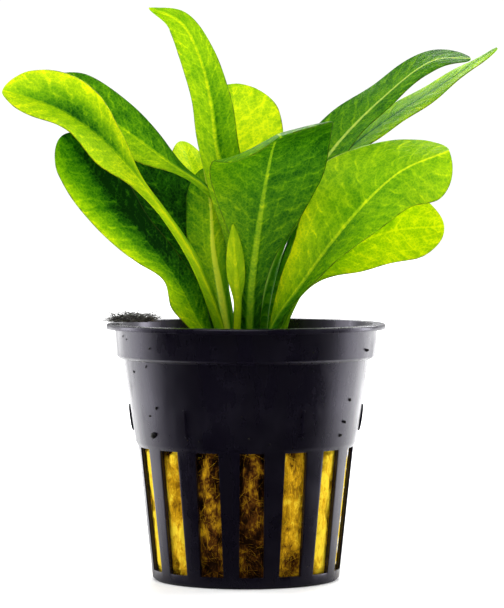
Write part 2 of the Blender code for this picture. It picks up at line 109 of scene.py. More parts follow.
# Leaves, close to their CAD solids. route: midrib points in millimetres. heading: the compass angle that
# the blade's width is square to. tip: the share of the length that the round tip takes. The lists are read
# at even steps from foot to tip: half width in millimetres to the left and right of the midrib, with right
# left out where it is the same, roll about the midrib and upward fold of each half in degrees. tone: how
# bright the leaf is drawn, from 0 to 1, at the left margin, to the left and right of the midrib and at the
# right margin. It holds painted light and shade, lit stretches and shaded halves, undersides and folds,
# together with the tissue's own colour. rib: how much brighter the midrib is than the tissue beside it.
LEAVES = {
    "leaf_arching_left": dict(
        route=[(-3.9, -4.7, 45), (-5.7, -5.2, 51.5), (-10.6, -7.5, 63.5), (-18.4, -10, 75.2),
               (-26.6, -12, 85.3), (-35.3, -13.5, 91.8), (-46.8, -14.5, 95.7)],
        heading=190, tip=0.06,
        left=[1.7, 1.8, 1.6, 1.2, 1.1, 2.8, 6.8, 6.6, 6.2, 3.2],
        right=[1.7, 1.8, 1.6, 1.2, 1.0, 1.2, 3.8, 6.8, 7.0, 4.0],
        roll=[-30, -48, -58, -64, -54, -50], fold=[0, 10, 15, 14, 24, 18],
        tone=[(.5, .5, .45, .45), (.7, .75, .6, .55), (.8, .85, .75, .7), (.85, .7, .4, .95),
              (.8, .62, .2, .98), (.85, .85, .7, .95)], rib=.2),
    "leaf_shaded_left": dict(
        route=[(-1.6, 1.4, 45), (-1.6, 0.8, 58), (-3.2, -0.8, 71), (-8.5, -2.1, 77.2),
               (-13.5, -2.5, 80.8), (-23, -2.8, 87.8), (-32, -3.6, 94), (-39.5, -4, 98)],
        heading=180, tip=0.1,
        left=[1, 1, 1, 1, 1, 1.2, 4.6, 6.4, 6, 4],
        right=[1, 1, 1, 1, 1, 1.4, 3.8, 5.4, 5.6, 4],
        roll=[0, -10, -40, -60, -60, -50], fold=[0, 10, 15, 10, 5],
        tone=[(.4, .4, .4, .4), (.4, .4, .35, .35), (.55, .55, .4, .35), (.7, .62, .44, .3),
              (.7, .58, .48, .35), (.55, .55, .5, .45)], rib=.25),
    "leaf_low_left": dict(
        route=[(-6.2, -2.4, 45), (-9.3, -3.5, 50.5), (-12.3, -4.2, 57), (-16.2, -4.8, 63),
               (-24, -5, 72.5), (-31, -5, 81.5), (-36, -5, 87.2)],
        heading=185, tip=0.1,
        left=[1.4, 2.8, 4.4, 2.6, 4.6, 6.0, 7.0, 7.2, 6.4, 4.4],
        right=[1.4, 2.4, 3.8, 3.2, 3.2, 3.4, 4.4, 5.4, 6, 4.4],
        roll=[-45, -66, -70, -70, -65, -60], fold=[10, 10, 5, 0, 0],
        tone=[(.7, .62, .5, .45), (.75, .55, .35, .25), (.8, .2, .04, .04), (.88, .04, -.06, -.06),
              (.76, .1, .0, -.02), (.6, .25, .16, .16)], rib=.08),
    "leaf_inner_left": dict(
        route=[(-5, 1.4, 45), (-7.2, 2.2, 54), (-11, 3, 65), (-16.5, 3.4, 75), (-21.5, 3.6, 84)],
        heading=180, tip=0.12,
        left=[1.1, 1.1, 2.4, 6, 7, 6, 4],
        right=[1.1, 1.1, 2.4, 6.6, 8, 7, 4],
        roll=[0, -40, -60, -60, -60], fold=[0, 10, 10, 5, 0],
        tone=[(.2, .2, .15, .15), (.12, .12, .1, .1), (.1, .1, .08, .08), (.15, .12, .1, .1)], rib=.08),
    "leaf_centre_left": dict(
        route=[(-3.0, -1.6, 45), (-4.6, -1.4, 55), (-6.4, -0.8, 65), (-7, 0.2, 74), (-8.2, 1.4, 81)],
        heading=-100, tip=0.15,
        left=[1, 1.1, 1.6, 3, 3.6, 3],
        right=[1, 1.2, 3.6, 5.4, 5.4, 4],
        roll=[0, 0, 0], fold=[0, 15, 15],
        tone=[(.4, .5, .5, .4), (.42, .65, .6, .4), (.38, .75, .65, .4), (.38, .7, .6, .35),
              (.35, .45, .45, .35)], rib=.4),
    "leaf_tall": dict(
        route=[(-0.2, -1.7, 45), (-1.3, -3.3, 62), (-3.2, -5.5, 75.5), (-5.6, -6.5, 85),
               (-6.8, -7.8, 94), (-9, -10, 102.5), (-12.6, -12.4, 109), (-18.6, -14, 111.6)],
        heading=-100, tip=0.1,
        left=[1.3, 1.5, 1.5, 2.6, 4.0, 4.2, 4.1, 3.4, 2.4, 0.8],
        right=[1.3, 1.5, 1.5, 3, 4.5, 4.4, 4.2, 4.2, 3.4, 1.0],
        roll=[0, 0, 0, 0, 10, 30], fold=[0, 10, 20, 20, 15],
        tone=[(.45, .5, .5, .5), (.5, .5, .55, .5), (.5, .45, .55, .6), (.62, .36, .66, .72),
              (.7, .58, .7, .72), (.72, .65, .7, .72)], rib=.2),
    "leaf_newest": dict(
        route=[(-2.0, -5.6, 45), (-1.6, -7.1, 53), (-2, -8.1, 62), (-2.5, -8.3, 70)],
        heading=-90, tip=0.3,
        left=[0.7, 0.6, 0.8, 1.8, 1.7, 0.9],
        roll=[0, 0, 0], fold=[0, 15, 10],
        tone=[(.5, .6, .6, .6), (.6, .72, .75, .75), (.7, .78, .82, .85), (.7, .75, .8, .85)], rib=.1),
    "leaf_front": dict(
        route=[(0.6, -4.8, 45), (0.9, -6, 56), (2, -7.5, 66), (3.6, -10, 77), (5, -14.5, 84.5),
               (6, -22, 87), (6.6, -29, 86.6)],
        heading=-87, tip=0.12,
        left=[1.8, 2.2, 2.9, 4.8, 8.6, 11.4, 11.8, 11, 8],
        roll=[0, 0, 2, 18, 26], fold=[0, 10, 8, -4, -8],
        tone=[(.1, .1, .1, .1), (.2, .26, .26, .3), (.3, .38, .36, .5), (.36, .36, .34, .5),
              (.24, .28, .36, .5), (.4, .4, .44, .5)], rib=.34),
    "leaf_broad_right": dict(
        route=[(4.4, -3.2, 45), (6.2, -4, 50.5), (11, -5.5, 58), (17, -7, 66.5), (24, -8, 74.8),
               (30.5, -8.6, 80.4), (39.4, -10.4, 84.2)],
        heading=-5, tip=0.1,
        left=[1.4, 3.3, 5.4, 6.8, 9.4, 12.6, 12, 9, 5],
        right=[1.4, 1.6, 2.6, 4.4, 7, 8.4, 9.2, 9.4, 8.6],
        roll=[10, 40, 50, 55, 48, 46], fold=[5, 15, 22, 14, -4, -22],
        tone=[(.5, .2, .1, .15), (.9, .5, .3, .35), (.95, .55, .42, .55), (.7, .55, .5, .62),
              (.66, .6, .58, .66), (.72, .68, .68, .74)], rib=.34),
    "leaf_low_right": dict(
        route=[(6.2, 0.4, 45), (8, 0, 52), (13, -0.5, 60), (20, -0.5, 65), (28.5, -0.5, 68.5),
               (39, -1, 69.5)],
        heading=0, tip=0.14,
        left=[1.2, 1.4, 2.4, 4.6, 8, 8.6, 7.8, 6],
        right=[1.2, 1.4, 2, 3.4, 6, 6.8, 7.2, 6],
        roll=[10, 30, 60, 65, 60], fold=[0, 5, 5, 5, 0],
        tone=[(.25, .25, .3, .5), (.35, .3, .4, .65), (.6, .5, .6, .75), (.8, .75, .8, .85),
              (.86, .82, .84, .86), (.88, .86, .86, .88)], rib=.12),
    "leaf_upper_right": dict(
        route=[(2.6, 0.4, 45), (4.4, 1.3, 57), (9, 2.4, 71), (16.5, 3.6, 83.5), (27, 2.8, 94.6),
               (37, 1.2, 102), (44.2, 0, 102.4)],
        heading=0, tip=0.12,
        left=[1.1, 1.2, 1.4, 4, 7.6, 8.4, 7.6, 6, 4.5],
        right=[1.1, 1.1, 1.3, 3, 4.4, 4.2, 4, 3.8, 3.5],
        roll=[10, 32, 47, 38, 26, 22], fold=[0, 10, 5, 0, 0],
        tone=[(.3, .3, .3, .3), (.35, .35, .35, .35), (.42, .4, .4, .42), (.34, .42, .38, .36),
              (.3, .42, .36, .34), (.3, .4, .36, .34)], rib=.5),
    "leaf_long_right": dict(
        route=[(3.4, 2.9, 45), (6, 4.7, 57), (12, 6.3, 73), (20, 7.3, 84), (28.6, 7.7, 90.8),
               (38, 7.7, 96.8), (50, 7.7, 104.9)],
        heading=0, tip=0.1,
        left=[1, 1, 1.1, 1.6, 4, 5.4, 5.4, 4.4, 2.6],
        roll=[0, 16, 22, 18, 14], fold=[0, 5, 5, 0, 0],
        tone=[(.4, .4, .4, .4), (.4, .4, .4, .4), (.45, .4, .4, .45), (.65, .5, .55, .7),
              # rib below zero: the dark line along the midrib is painted shade in the crease of this folded
              # blade
              (.72, .5, .6, .75), (.75, .6, .65, .75)], rib=-.3),
    "leaf_back_round": dict(
        route=[(0.8, 2.6, 45), (1, 4.5, 60), (-0.4, 7.5, 76), (-1.8, 11.5, 90), (-2.8, 15, 98)],
        heading=90, tip=0.14,
        left=[1, 1, 1.2, 3, 6.4, 8.2, 8.4, 6.4],
        right=[1, 1, 1.2, 3, 7, 8.8, 8.8, 6],
        roll=[0, 0, 0], fold=[0, 10, 10],
        tone=[(.4, .4, .4, .4), (.5, .5, .5, .5), (.55, .55, .6, .65), (.68, .72, .82, .85),
              (.7, .8, .92, .86), (.7, .76, .8, .8)], rib=.05),
    "leaf_back_small": dict(
        route=[(-2.6, 4, 45), (-4.5, 6, 58), (-8, 10, 72), (-11, 14.5, 81), (-13, 19, 86.5)],
        heading=120, tip=0.14,
        left=[1, 1, 1.2, 3.4, 5, 5.2, 4.4, 3],
        roll=[0, 0, 0], fold=[0, 10, 10],
        tone=[(.4, .4, .4, .4), (.6, .6, .6, .6), (.82, .82, .82, .82), (.86, .88, .88, .86)], rib=.05),
    "leaf_back_left": dict(
        route=[(-4.8, 4.6, 45), (-8, 9, 57), (-15, 17, 70), (-22, 25, 78), (-29, 33, 80)],
        heading=131, tip=0.12,
        left=[1.1, 1.1, 2.6, 6.5, 7.5, 6, 4],
        roll=[0, 0, 0], fold=[0, 15, 15],
        tone=[(.4, .4, .4, .4), (.5, .45, .45, .5), (.6, .5, .5, .6), (.65, .55, .55, .65)], rib=.25),
    "leaf_back": dict(
        route=[(0.4, 5.8, 45), (1, 10, 58), (2, 18, 72), (3, 27, 82), (4, 36, 85)],
        heading=88, tip=0.12,
        left=[1.1, 1.1, 2.6, 7, 8.5, 7, 5],
        roll=[0, 0, 0], fold=[0, 15, 10],
        tone=[(.4, .4, .4, .4), (.45, .4, .4, .45), (.55, .45, .5, .55), (.6, .5, .5, .6)], rib=.25),
    "leaf_back_right": dict(
        route=[(5, 5, 45), (9, 9, 56), (16, 15, 67), (24, 22, 74), (32, 29, 76)],
        heading=40, tip=0.12,
        left=[1.1, 1.1, 2.6, 6.6, 8, 6.6, 4],
        roll=[0, 0, 0], fold=[0, 15, 15],
        tone=[(.4, .4, .4, .4), (.45, .42, .4, .45), (.55, .5, .48, .55), (.62, .55, .55, .62)], rib=.25),
}

# Tissue colours from the darkest tone to the brightest, at even steps: painted shade at the dark end and
# painted backlight at the bright end, as well as the tissue's own greens
TISSUE = [(.004, .045, .002), (.026, .16, .002), (.105, .33, .003), (.27, .52, .003), (.5, .7, .004),
          (.85, .9, .004)]

# Grit on the pot: degrees from the front towards +X, height and length in millimetres
GRIT = [(-53.5, 42.6, .7), (-66, 41.4, .7), (-46, 46.3, .6), (-68, 48.3, .7), (-64, 47.8, .5),
        (-49, 34.6, .9), (-55, 33, .7), (-54, 29.2, 1.9), (66, 45.6, 1.0), (61, 36, 1.0), (58, 31.8, 1.1),
        (55.5, 29.2, .9), (1.5, 29.3, .8), (-2, 33.5, .5), (-24, 28.6, .6), (12, 28.2, .5), (118, 38, .9),
        (150, 33, 1.2), (171, 41, .7), (-160, 30, 1.0), (-121, 36, .8), (94, 30.5, .9), (-92, 33, .8)]


# ---- Settings ----

class PotSettings(bpy.types.PropertyGroup):
    """Sizes and finish of the moulded pot"""
    collar_radius: FloatProperty(name="Collar radius", description="Outer radius under the lip",
                                 default=25.8 * MM, unit="LENGTH")
    body_top: FloatProperty(name="Body top radius", description="Outer radius under the collar",
                            default=24.1 * MM, unit="LENGTH")
    body_foot: FloatProperty(name="Body foot radius", description="Outer radius above the slots",
                             default=21.8 * MM, unit="LENGTH")
    cage_top: FloatProperty(name="Cage top radius", description="Outer radius of the ribs at their top",
                            default=21.3 * MM, unit="LENGTH")
    cage_foot: FloatProperty(name="Cage foot radius", description="Outer radius of the ribs at the floor",
                             default=18.4 * MM, unit="LENGTH")
    collar_foot: FloatProperty(name="Collar foot", description="Height of the collar's lower edge",
                               default=43.7 * MM, unit="LENGTH")
    cage_height: FloatProperty(name="Cage height", description="Height of the step above the slots",
                               default=26.8 * MM, unit="LENGTH")
    wall: FloatProperty(name="Wall", description="Thickness of the moulded wall",
                        default=0.9 * MM, unit="LENGTH")
    slot_count: IntProperty(name="Slots", description="Upright slots round the cage", default=15, min=3)
    slot_width: FloatProperty(name="Slot width", description="Clear width of a slot",
                              default=4.7 * MM, unit="LENGTH")
    slot_turn: FloatProperty(name="Slot turn", description="Angle of the first slot from the front",
                             default=math.radians(3.3), unit="ROTATION")
    lug_count: IntProperty(name="Lugs", description="Small fins that keep stacked pots apart", default=6)
    lug_turn: FloatProperty(name="Lug turn", description="Angle of the first lug from the front",
                            default=math.radians(29.0), unit="ROTATION")
    floor_slots: IntProperty(name="Floor slots", description="Radial slots in the floor", default=10, min=3)
    colour: FloatVectorProperty(name="Plastic", description="Colour of the plastic", subtype="COLOR",
                                default=(0.0032, 0.0024, 0.006), min=0.0, max=1.0)
    haze: FloatVectorProperty(name="Haze", description="Colour of the dried water film", subtype="COLOR",
                              default=(0.009, 0.0075, 0.014), min=0.0, max=1.0)


class WoolSettings(bpy.types.PropertyGroup):
    """Finish of the mineral wool, the crown and the loose fibres"""
    gold: FloatVectorProperty(name="Gold", description="Colour of clean wool", subtype="COLOR",
                              default=(0.66, 0.36, 0.008), min=0.0, max=1.0)
    brown: FloatVectorProperty(name="Brown", description="Colour of soaked wool", subtype="COLOR",
                               default=(0.085, 0.028, 0.003), min=0.0, max=1.0)
    fibre_length: FloatProperty(name="Fibre length", description="Length of a loose wool fibre",
                                default=3.2 * MM, unit="LENGTH")
    fibre_count: IntProperty(name="Fibres", description="Loose fibres on the wool", default=5200, min=0)
    root_colour: FloatVectorProperty(name="Roots", description="Colour of the dried root fibres",
                                     subtype="COLOR", default=(0.035, 0.03, 0.028), min=0.0, max=1.0)
    root_count: IntProperty(name="Root fibres", description="Fibres in the tuft on the rim",
                            default=640, min=0)


class LeafSettings(bpy.types.PropertyGroup):
    """Make-up of every leaf"""
    thickness: FloatProperty(name="Blade thickness", description="Thickness beside the midrib",
                             default=0.4 * MM, unit="LENGTH")
    stalk: FloatProperty(name="Stalk radius", description="Half thickness of a leaf stalk",
                         default=1.0 * MM, unit="LENGTH")
    vein_spacing: FloatProperty(name="Vein spacing", description="Distance between side veins",
                                default=3.4 * MM, unit="LENGTH")
    quilting: FloatProperty(name="Quilting", description="Rise of the blade between veins",
                            default=0.07 * MM, unit="LENGTH")
    waviness: FloatProperty(name="Waviness", description="Rise and fall of the margins",
                            default=0.3 * MM, unit="LENGTH")
    translucency: FloatProperty(name="Translucency", description="Share of light let through",
                                default=0.5, min=0.0, max=1.0, subtype="FACTOR")


class StageSettings(bpy.types.PropertyGroup):
    """Floor, lights and camera"""
    floor_colour: FloatVectorProperty(name="Floor", description="Colour of the floor", subtype="COLOR",
                                      default=(0.9, 0.9, 0.9), min=0.0, max=1.0)
    distance: FloatProperty(name="Camera distance", description="From the plant's axis to the camera",
                            default=0.617, unit="LENGTH")
    camera_side: FloatProperty(name="Camera side", description="Camera's place to the right of the axis",
                               default=1.18 * MM, unit="LENGTH")
    camera_height: FloatProperty(name="Camera height", description="Height of the camera", default=76.4 * MM,
                                 unit="LENGTH")
    pitch: FloatProperty(name="Pitch", description="How far the camera looks down",
                         default=math.radians(2.06), unit="ROTATION")
    lens: FloatProperty(name="Lens", description="Focal length in millimetres", default=185.4)


# ---- Node helpers ----

def add_node(tree, kind, inputs=None, **settings):
    """A new node. An input's value may be a constant or another node's socket."""
    made = tree.nodes.new(kind)
    for name, value in settings.items():
        setattr(made, name, value)
    for name, value in (inputs or {}).items():
        if isinstance(value, bpy.types.NodeSocket):
            tree.links.new(value, made.inputs[name])
        else:
            made.inputs[name].default_value = value
    return made


def maths(tree, operation, a, b=0.0):
    return add_node(tree, "ShaderNodeMath", {0: a, 1: b}, operation=operation).outputs[0]


def plus(tree, a, b):
    return maths(tree, "ADD", a, b)


def minus(tree, a, b):
    return maths(tree, "SUBTRACT", a, b)


def times(tree, a, b):
    return maths(tree, "MULTIPLY", a, b)


def fade(tree, value, start, end, low=0.0, high=1.0):
    """low below start, high above end, and smooth between."""
    ends = {"Value": value, "From Min": start, "From Max": end, "To Min": low, "To Max": high}
    return add_node(tree, "ShaderNodeMapRange", ends, interpolation_type="SMOOTHSTEP").outputs[0]


def mix_colours(tree, factor, a, b):
    made = add_node(tree, "ShaderNodeMix", data_type="RGBA")
    for socket, value in ((0, factor), (6, a), (7, b)):
        if isinstance(value, bpy.types.NodeSocket):
            tree.links.new(value, made.inputs[socket])
        else:
            made.inputs[socket].default_value = (*value, 1.0) if socket else value
    return made.outputs[2]


def ramp(tree, factor, colours):
    """Colours at even steps from factor 0 to 1."""
    made = add_node(tree, "ShaderNodeValToRGB", {"Fac": factor})
    stops = made.color_ramp.elements
    while len(stops) < len(colours):
        stops.new(1.0)
    for n, colour in enumerate(colours):
        stops[n].position = n / (len(colours) - 1)
        stops[n].color = (*colour, 1.0)
    return made.outputs[0]


def noise_of(tree, vector, scale, detail=3.0, roughness=0.5, distortion=0.0):
    values = {"Vector": vector, "Scale": scale, "Detail": detail, "Roughness": roughness,
              "Distortion": distortion}
    return add_node(tree, "ShaderNodeTexNoise", values).outputs[0]


def stretched(tree, vector, scale):
    return add_node(tree, "ShaderNodeMapping", {"Vector": vector, "Scale": scale}).outputs[0]


def bump_of(tree, height, distance, strength=1.0, normal=None):
    inputs = {"Height": height, "Distance": distance, "Strength": strength}
    if normal:
        inputs["Normal"] = normal
    return add_node(tree, "ShaderNodeBump", inputs).outputs[0]


def new_material(name):
    """An empty node material, its tree, its output and the object coordinates."""
    material = bpy.data.materials.new(name)
    material.use_nodes = True
    tree = material.node_tree
    tree.nodes.clear()
    output = add_node(tree, "ShaderNodeOutputMaterial")
    place = add_node(tree, "ShaderNodeTexCoord").outputs["Object"]
    return material, tree, output, place


def finish_principled(material, tree, output, values):
    """Ends a material with a Principled shader that has these inputs."""
    shader = add_node(tree, "ShaderNodeBsdfPrincipled", values)
    tree.links.new(shader.outputs[0], output.inputs[0])
    return material


# ---- Materials ----

def pot_plastic(settings):
    """Black moulded plastic with a faint film of dried water and fine flow lines."""
    material, tree, output, place = new_material("pot_plastic")
    film = fade(tree, noise_of(tree, place, 120.0, 5.0, 0.6), 0.45, 0.75)
    runs = fade(tree, noise_of(tree, stretched(tree, place, (1.0, 1.0, 0.12)), 900.0, 3.0), 0.5, 0.8)
    dried = times(tree, film, plus(tree, times(tree, runs, 0.6), 0.4))
    colour = mix_colours(tree, dried, settings.colour, settings.haze)
    grain = noise_of(tree, place, 5200.0, 2.0)
    flow = noise_of(tree, stretched(tree, place, (1.0, 1.0, 0.25)), 260.0, 4.0)
    rough = plus(tree, fade(tree, flow, 0.3, 0.7, 0.2, 0.34), times(tree, dried, 0.25))
    relief = bump_of(tree, flow, 0.05 * MM, 0.6, bump_of(tree, grain, 0.01 * MM, 0.5))
    return finish_principled(material, tree, output, {
        "Base Color": colour, "Roughness": rough, "Normal": relief, "Specular IOR Level": 0.5,
        "Specular Tint": (0.8, 0.74, 1.0, 1.0)})


def mineral_wool(settings, name, lift):
    """Matted gold fibres that darken where the attribute for soaking and painted shade is high. lift makes
    them paler.
    """
    material, tree, output, place = new_material(name)
    soak = add_node(tree, "ShaderNodeAttribute", attribute_name="soak").outputs["Fac"]
    strands = noise_of(tree, stretched(tree, place, (1.0, 1.0, 0.35)), 1500.0, 6.0, 0.7, 1.2)
    clumps = noise_of(tree, place, 330.0, 4.0, 0.6, 0.6)
    dark = plus(tree, soak, times(tree, minus(tree, clumps, 0.5), 1.3))
    dark = plus(tree, dark, times(tree, minus(tree, strands, 0.5), 1.5))
    dark = minus(tree, dark, lift)
    pale = tuple(min(1.0, c * g) for c, g in zip(settings.gold, (1.3, 1.75, 4.0)))
    mid = tuple(0.5 * g + 0.5 * b for g, b in zip(settings.gold, settings.brown))
    deep = tuple(0.12 * c for c in settings.brown)
    colour = ramp(tree, dark, [pale, tuple(settings.gold), mid, tuple(settings.brown), deep])
    relief = bump_of(tree, strands, 0.35 * MM, 0.9)
    return finish_principled(material, tree, output, {
        "Base Color": colour, "Roughness": 0.95, "Normal": relief, "Specular IOR Level": 0.05})


def crown_tissue():
    """Pale sheath bases that brown towards the wool."""
    material, tree, output, place = new_material("crown_tissue")
    height = add_node(tree, "ShaderNodeSeparateXYZ", {0: place}).outputs[2]
    pale = fade(tree, height, CROWN_LOW.z, CROWN_HIGH.z)
    streaks = noise_of(tree, stretched(tree, place, (1.0, 1.0, 0.15)), 1400.0, 4.0)
    colour = mix_colours(tree, pale, (0.09, 0.05, 0.012), (0.3, 0.42, 0.06))
    colour = mix_colours(tree, fade(tree, streaks, 0.4, 0.7, 0.0, 0.6), colour, (0.42, 0.46, 0.16))
    return finish_principled(material, tree, output, {
        "Base Color": colour, "Roughness": fade(tree, streaks, 0.3, 0.7, 0.45, 0.7),
        "Normal": bump_of(tree, streaks, 0.15 * MM, 0.7)})


def root_fibre(settings):
    """Dried dark root fibres with paler worn stretches."""
    material, tree, output, place = new_material("root_fibre")
    patches = fade(tree, noise_of(tree, place, 1100.0, 3.0), 0.42, 0.66)
    colour = mix_colours(tree, patches, settings.root_colour, (0.16, 0.15, 0.14))
    return finish_principled(material, tree, output, {
        "Base Color": colour, "Roughness": fade(tree, patches, 0.0, 1.0, 0.55, 0.85),
        "Normal": bump_of(tree, noise_of(tree, place, 6000.0), 0.02 * MM, 0.6)})


def grit_stone():
    """Wet dark grains of grit."""
    material, tree, output, place = new_material("grit_stone")
    grains = noise_of(tree, place, 4200.0, 3.0)
    colour = mix_colours(tree, fade(tree, grains, 0.4, 0.7), (0.002, 0.002, 0.0025), (0.02, 0.017, 0.015))
    return finish_principled(material, tree, output, {
        "Base Color": colour, "Roughness": fade(tree, grains, 0.3, 0.7, 0.5, 0.8),
        "Specular IOR Level": 0.3, "Normal": bump_of(tree, grains, 0.05 * MM, 0.8)})


def leaf_tissue(settings):
    """Translucent leaf tissue.

    The attribute blade holds column, half width and distance along in millimetres. The attribute look holds
    tone, midrib strength and midrib half width in millimetres. Tone holds painted light and shade as
    well as the tissue's own colour.
    """
    material, tree, output, _ = new_material("leaf_tissue")
    blade = add_node(tree, "ShaderNodeSeparateXYZ", {
        0: add_node(tree, "ShaderNodeAttribute", attribute_name="blade").outputs["Vector"]}).outputs
    look = add_node(tree, "ShaderNodeSeparateXYZ", {
        0: add_node(tree, "ShaderNodeAttribute", attribute_name="look").outputs["Vector"]}).outputs
    column, half_width, along = blade[0], blade[1], blade[2]
    tone, rib_strength, rib_width = look[0], look[1], look[2]
    across = maths(tree, "ABSOLUTE", column)
    offset = times(tree, column, half_width)
    flat = add_node(tree, "ShaderNodeCombineXYZ", {0: offset, 1: along}).outputs[0]
    wander = minus(tree, noise_of(tree, flat, 0.35, 2.0), 0.5)

    rib = fade(tree, maths(tree, "DIVIDE", maths(tree, "ABSOLUTE", offset), rib_width), 0.35, 1.1, 1.0, 0.0)
    veins = 0.0
    for position in (0.34, 0.68):
        nearness = maths(tree, "ABSOLUTE", minus(tree, across, position))
        strayed = times(tree, maths(tree, "ABSOLUTE", wander), 0.25)
        nearness = plus(tree, times(tree, nearness, half_width), strayed)
        veins = maths(tree, "MAXIMUM", veins, fade(tree, nearness, 0.06, 0.3, 1.0, 0.0))
    spacing = settings.vein_spacing / MM
    phase = minus(tree, maths(tree, "DIVIDE", along, spacing), times(tree, across, VEIN_SLANT))
    phase = plus(tree, phase, times(tree, wander, 0.9))
    gap = maths(tree, "ABSOLUTE", minus(tree, maths(tree, "FRACT", phase), 0.5))
    broken = fade(tree, noise_of(tree, flat, 0.6, 2.0), 0.35, 0.6)
    side_veins = times(tree, fade(tree, gap, 0.02, 0.13, 1.0, 0.0), broken)
    net = add_node(tree, "ShaderNodeTexVoronoi", {"Vector": flat, "Scale": 1.3}, feature="DISTANCE_TO_EDGE")
    net = fade(tree, net.outputs["Distance"], 0.02, 0.16, 1.0, 0.0)
    inside = fade(tree, half_width, 1.4, 3.2)
    fine = minus(tree, noise_of(tree, flat, 2.2, 3.0, 0.6), 0.5)
    rising = add_node(tree, "ShaderNodeCombineXYZ", {
        0: times(tree, phase, 2.2), 1: times(tree, offset, 0.3)}).outputs[0]
    streaks = minus(tree, noise_of(tree, rising, 1.0, 4.0, 0.65), 0.5)

    parts = [(rib, rib_strength), (veins, 0.06), (side_veins, 0.16), (net, 0.1)]
    total = tone
    for mask, amount in parts:
        lift = times(tree, mask, amount)
        if mask is not rib:
            lift = times(tree, lift, inside)
        total = plus(tree, total, lift)
    for pattern, amount in ((wander, 0.3), (fine, 0.3), (streaks, 0.6)):
        total = plus(tree, total, times(tree, pattern, amount))
    total = minus(tree, total, 0.05)
    colour = ramp(tree, total, TISSUE)
    pale_rib = times(tree, rib, fade(tree, rib_strength, 0.3, 0.6, 0.0, 0.5))
    colour = mix_colours(tree, pale_rib, colour, (0.62, 0.8, 0.34))

    to_margin = times(tree, minus(tree, 1.0, across), half_width)
    margin = times(tree, fade(tree, to_margin, 0.02, 0.27, 1.0, 0.0), inside)
    worn = fade(tree, noise_of(tree, flat, 0.5, 3.0), 0.35, 0.65, 0.3, 0.95)
    colour = mix_colours(tree, times(tree, margin, worn), colour, (0.09, 0.12, 0.006))

    raised = maths(tree, "MAXIMUM", rib, times(tree, maths(tree, "MAXIMUM", veins, side_veins), 0.7))
    raised = maths(tree, "MAXIMUM", raised, times(tree, net, 0.4))
    relief = bump_of(tree, raised, 0.08 * MM, 0.6)
    rough = fade(tree, fine, -0.2, 0.2, 0.36, 0.55)
    front = add_node(tree, "ShaderNodeBsdfPrincipled", {
        "Base Color": colour, "Roughness": rough, "Normal": relief, "Specular IOR Level": 0.08})
    through = add_node(tree, "ShaderNodeBsdfTranslucent", {"Color": colour, "Normal": relief})
    mixed = add_node(tree, "ShaderNodeMixShader", {
        0: settings.translucency, 1: front.outputs[0], 2: through.outputs[0]})
    tree.links.new(mixed.outputs[0], output.inputs[0])
    return material


# ---- Mesh helpers ----

def mesh_object(name, mesh, material=None):
    obj = bpy.data.objects.new(name, mesh)
    bpy.context.scene.collection.objects.link(obj)
    if material:
        mesh.materials.clear()
        mesh.materials.append(material)
    return obj


def shade(mesh, sharp_angle=35.0):
    mesh.shade_smooth()
    mesh.set_sharp_from_angle(angle=math.radians(sharp_angle))


def outward_mesh(bm, name):
    """Turns a bmesh's faces outwards and ends it as a mesh."""
    bmesh.ops.recalc_face_normals(bm, faces=bm.faces)
    mesh = bpy.data.meshes.new(name)
    bm.to_mesh(mesh)
    bm.free()
    return mesh


def skin(bm, rings):
    """Joins rings of equally many points with faces and fills both ends."""
    for lower, upper in zip(rings, rings[1:]):
        for n in range(len(lower)):
            following = (n + 1) % len(lower)
            bm.faces.new((lower[n], lower[following], upper[following], upper[n]))
    bm.faces.new(rings[0])
    bm.faces.new(rings[-1])


def turned_mesh(name, verts, around):
    """A closed smooth mesh from rings of this many points, with its first and last rings filled."""
    rings = len(verts) // around
    faces = [(r * around + n, r * around + (n + 1) % around, (r + 1) * around + (n + 1) % around,
              (r + 1) * around + n) for r in range(rings - 1) for n in range(around)]
    faces.append(tuple(reversed(range(around))))
    faces.append(tuple((rings - 1) * around + n for n in range(around)))
    mesh = bpy.data.meshes.new(name)
    mesh.from_pydata(verts, [], faces)
    mesh.shade_smooth()
    return mesh


def settle(name, source, *helpers):
    """The evaluated shape of source as a plain mesh object. source and its helpers are removed."""
    graph = bpy.context.evaluated_depsgraph_get()
    mesh = bpy.data.meshes.new_from_object(source.evaluated_get(graph), preserve_all_data_layers=True,
                                           depsgraph=graph)
    mesh.name = name
    material = [slot for slot in mesh.materials if slot][-1]
    mesh.materials.clear()
    mesh.materials.append(material)
    for obj in (source, *helpers):
        bpy.data.objects.remove(obj, do_unlink=True)
    made = bpy.data.objects.new(name, mesh)
    bpy.context.scene.collection.objects.link(made)
    return made


def joined(name, objects):
    """One mesh object from several that share their materials."""
    bm = bmesh.new()
    for obj in objects:
        bm.from_mesh(obj.data)
    for face in bm.faces:
        face.material_index = 0
    mesh = bpy.data.meshes.new(name)
    bm.to_mesh(mesh)
    bm.free()
    mesh.materials.append(objects[0].data.materials[0])
    for obj in objects:
        bpy.data.objects.remove(obj, do_unlink=True)
    return mesh_object(name, mesh)


def keep(piece, slot, *nodes):
    """Fixes a finished piece to the frame."""
    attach(piece, "root")
    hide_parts(*nodes)


def modifier_inputs(obj, tree, values):
    """Adds a Geometry Nodes modifier and sets its inputs, given by socket name, by their identifiers."""
    modifier = obj.modifiers.new(tree.name, "NODES")
    modifier.node_group = tree
    for item in tree.interface.items_tree:
        if item.item_type == "SOCKET" and item.in_out == "INPUT" and item.name in values:
            modifier[item.identifier] = values[item.name]


def tree_with(name, sockets):
    """A Geometry Nodes tree with a geometry input and output and these (name, type, default) inputs."""
    tree = bpy.data.node_groups.new(name, "GeometryNodeTree")
    tree.interface.new_socket("Geometry", in_out="INPUT", socket_type="NodeSocketGeometry")
    tree.interface.new_socket("Geometry", in_out="OUTPUT", socket_type="NodeSocketGeometry")
    for label, kind, default in sockets:
        made = tree.interface.new_socket(label, in_out="INPUT", socket_type=kind)
        if default is not None:
            made.default_value = default
    return tree, add_node(tree, "NodeGroupInput").outputs, add_node(tree, "NodeGroupOutput")


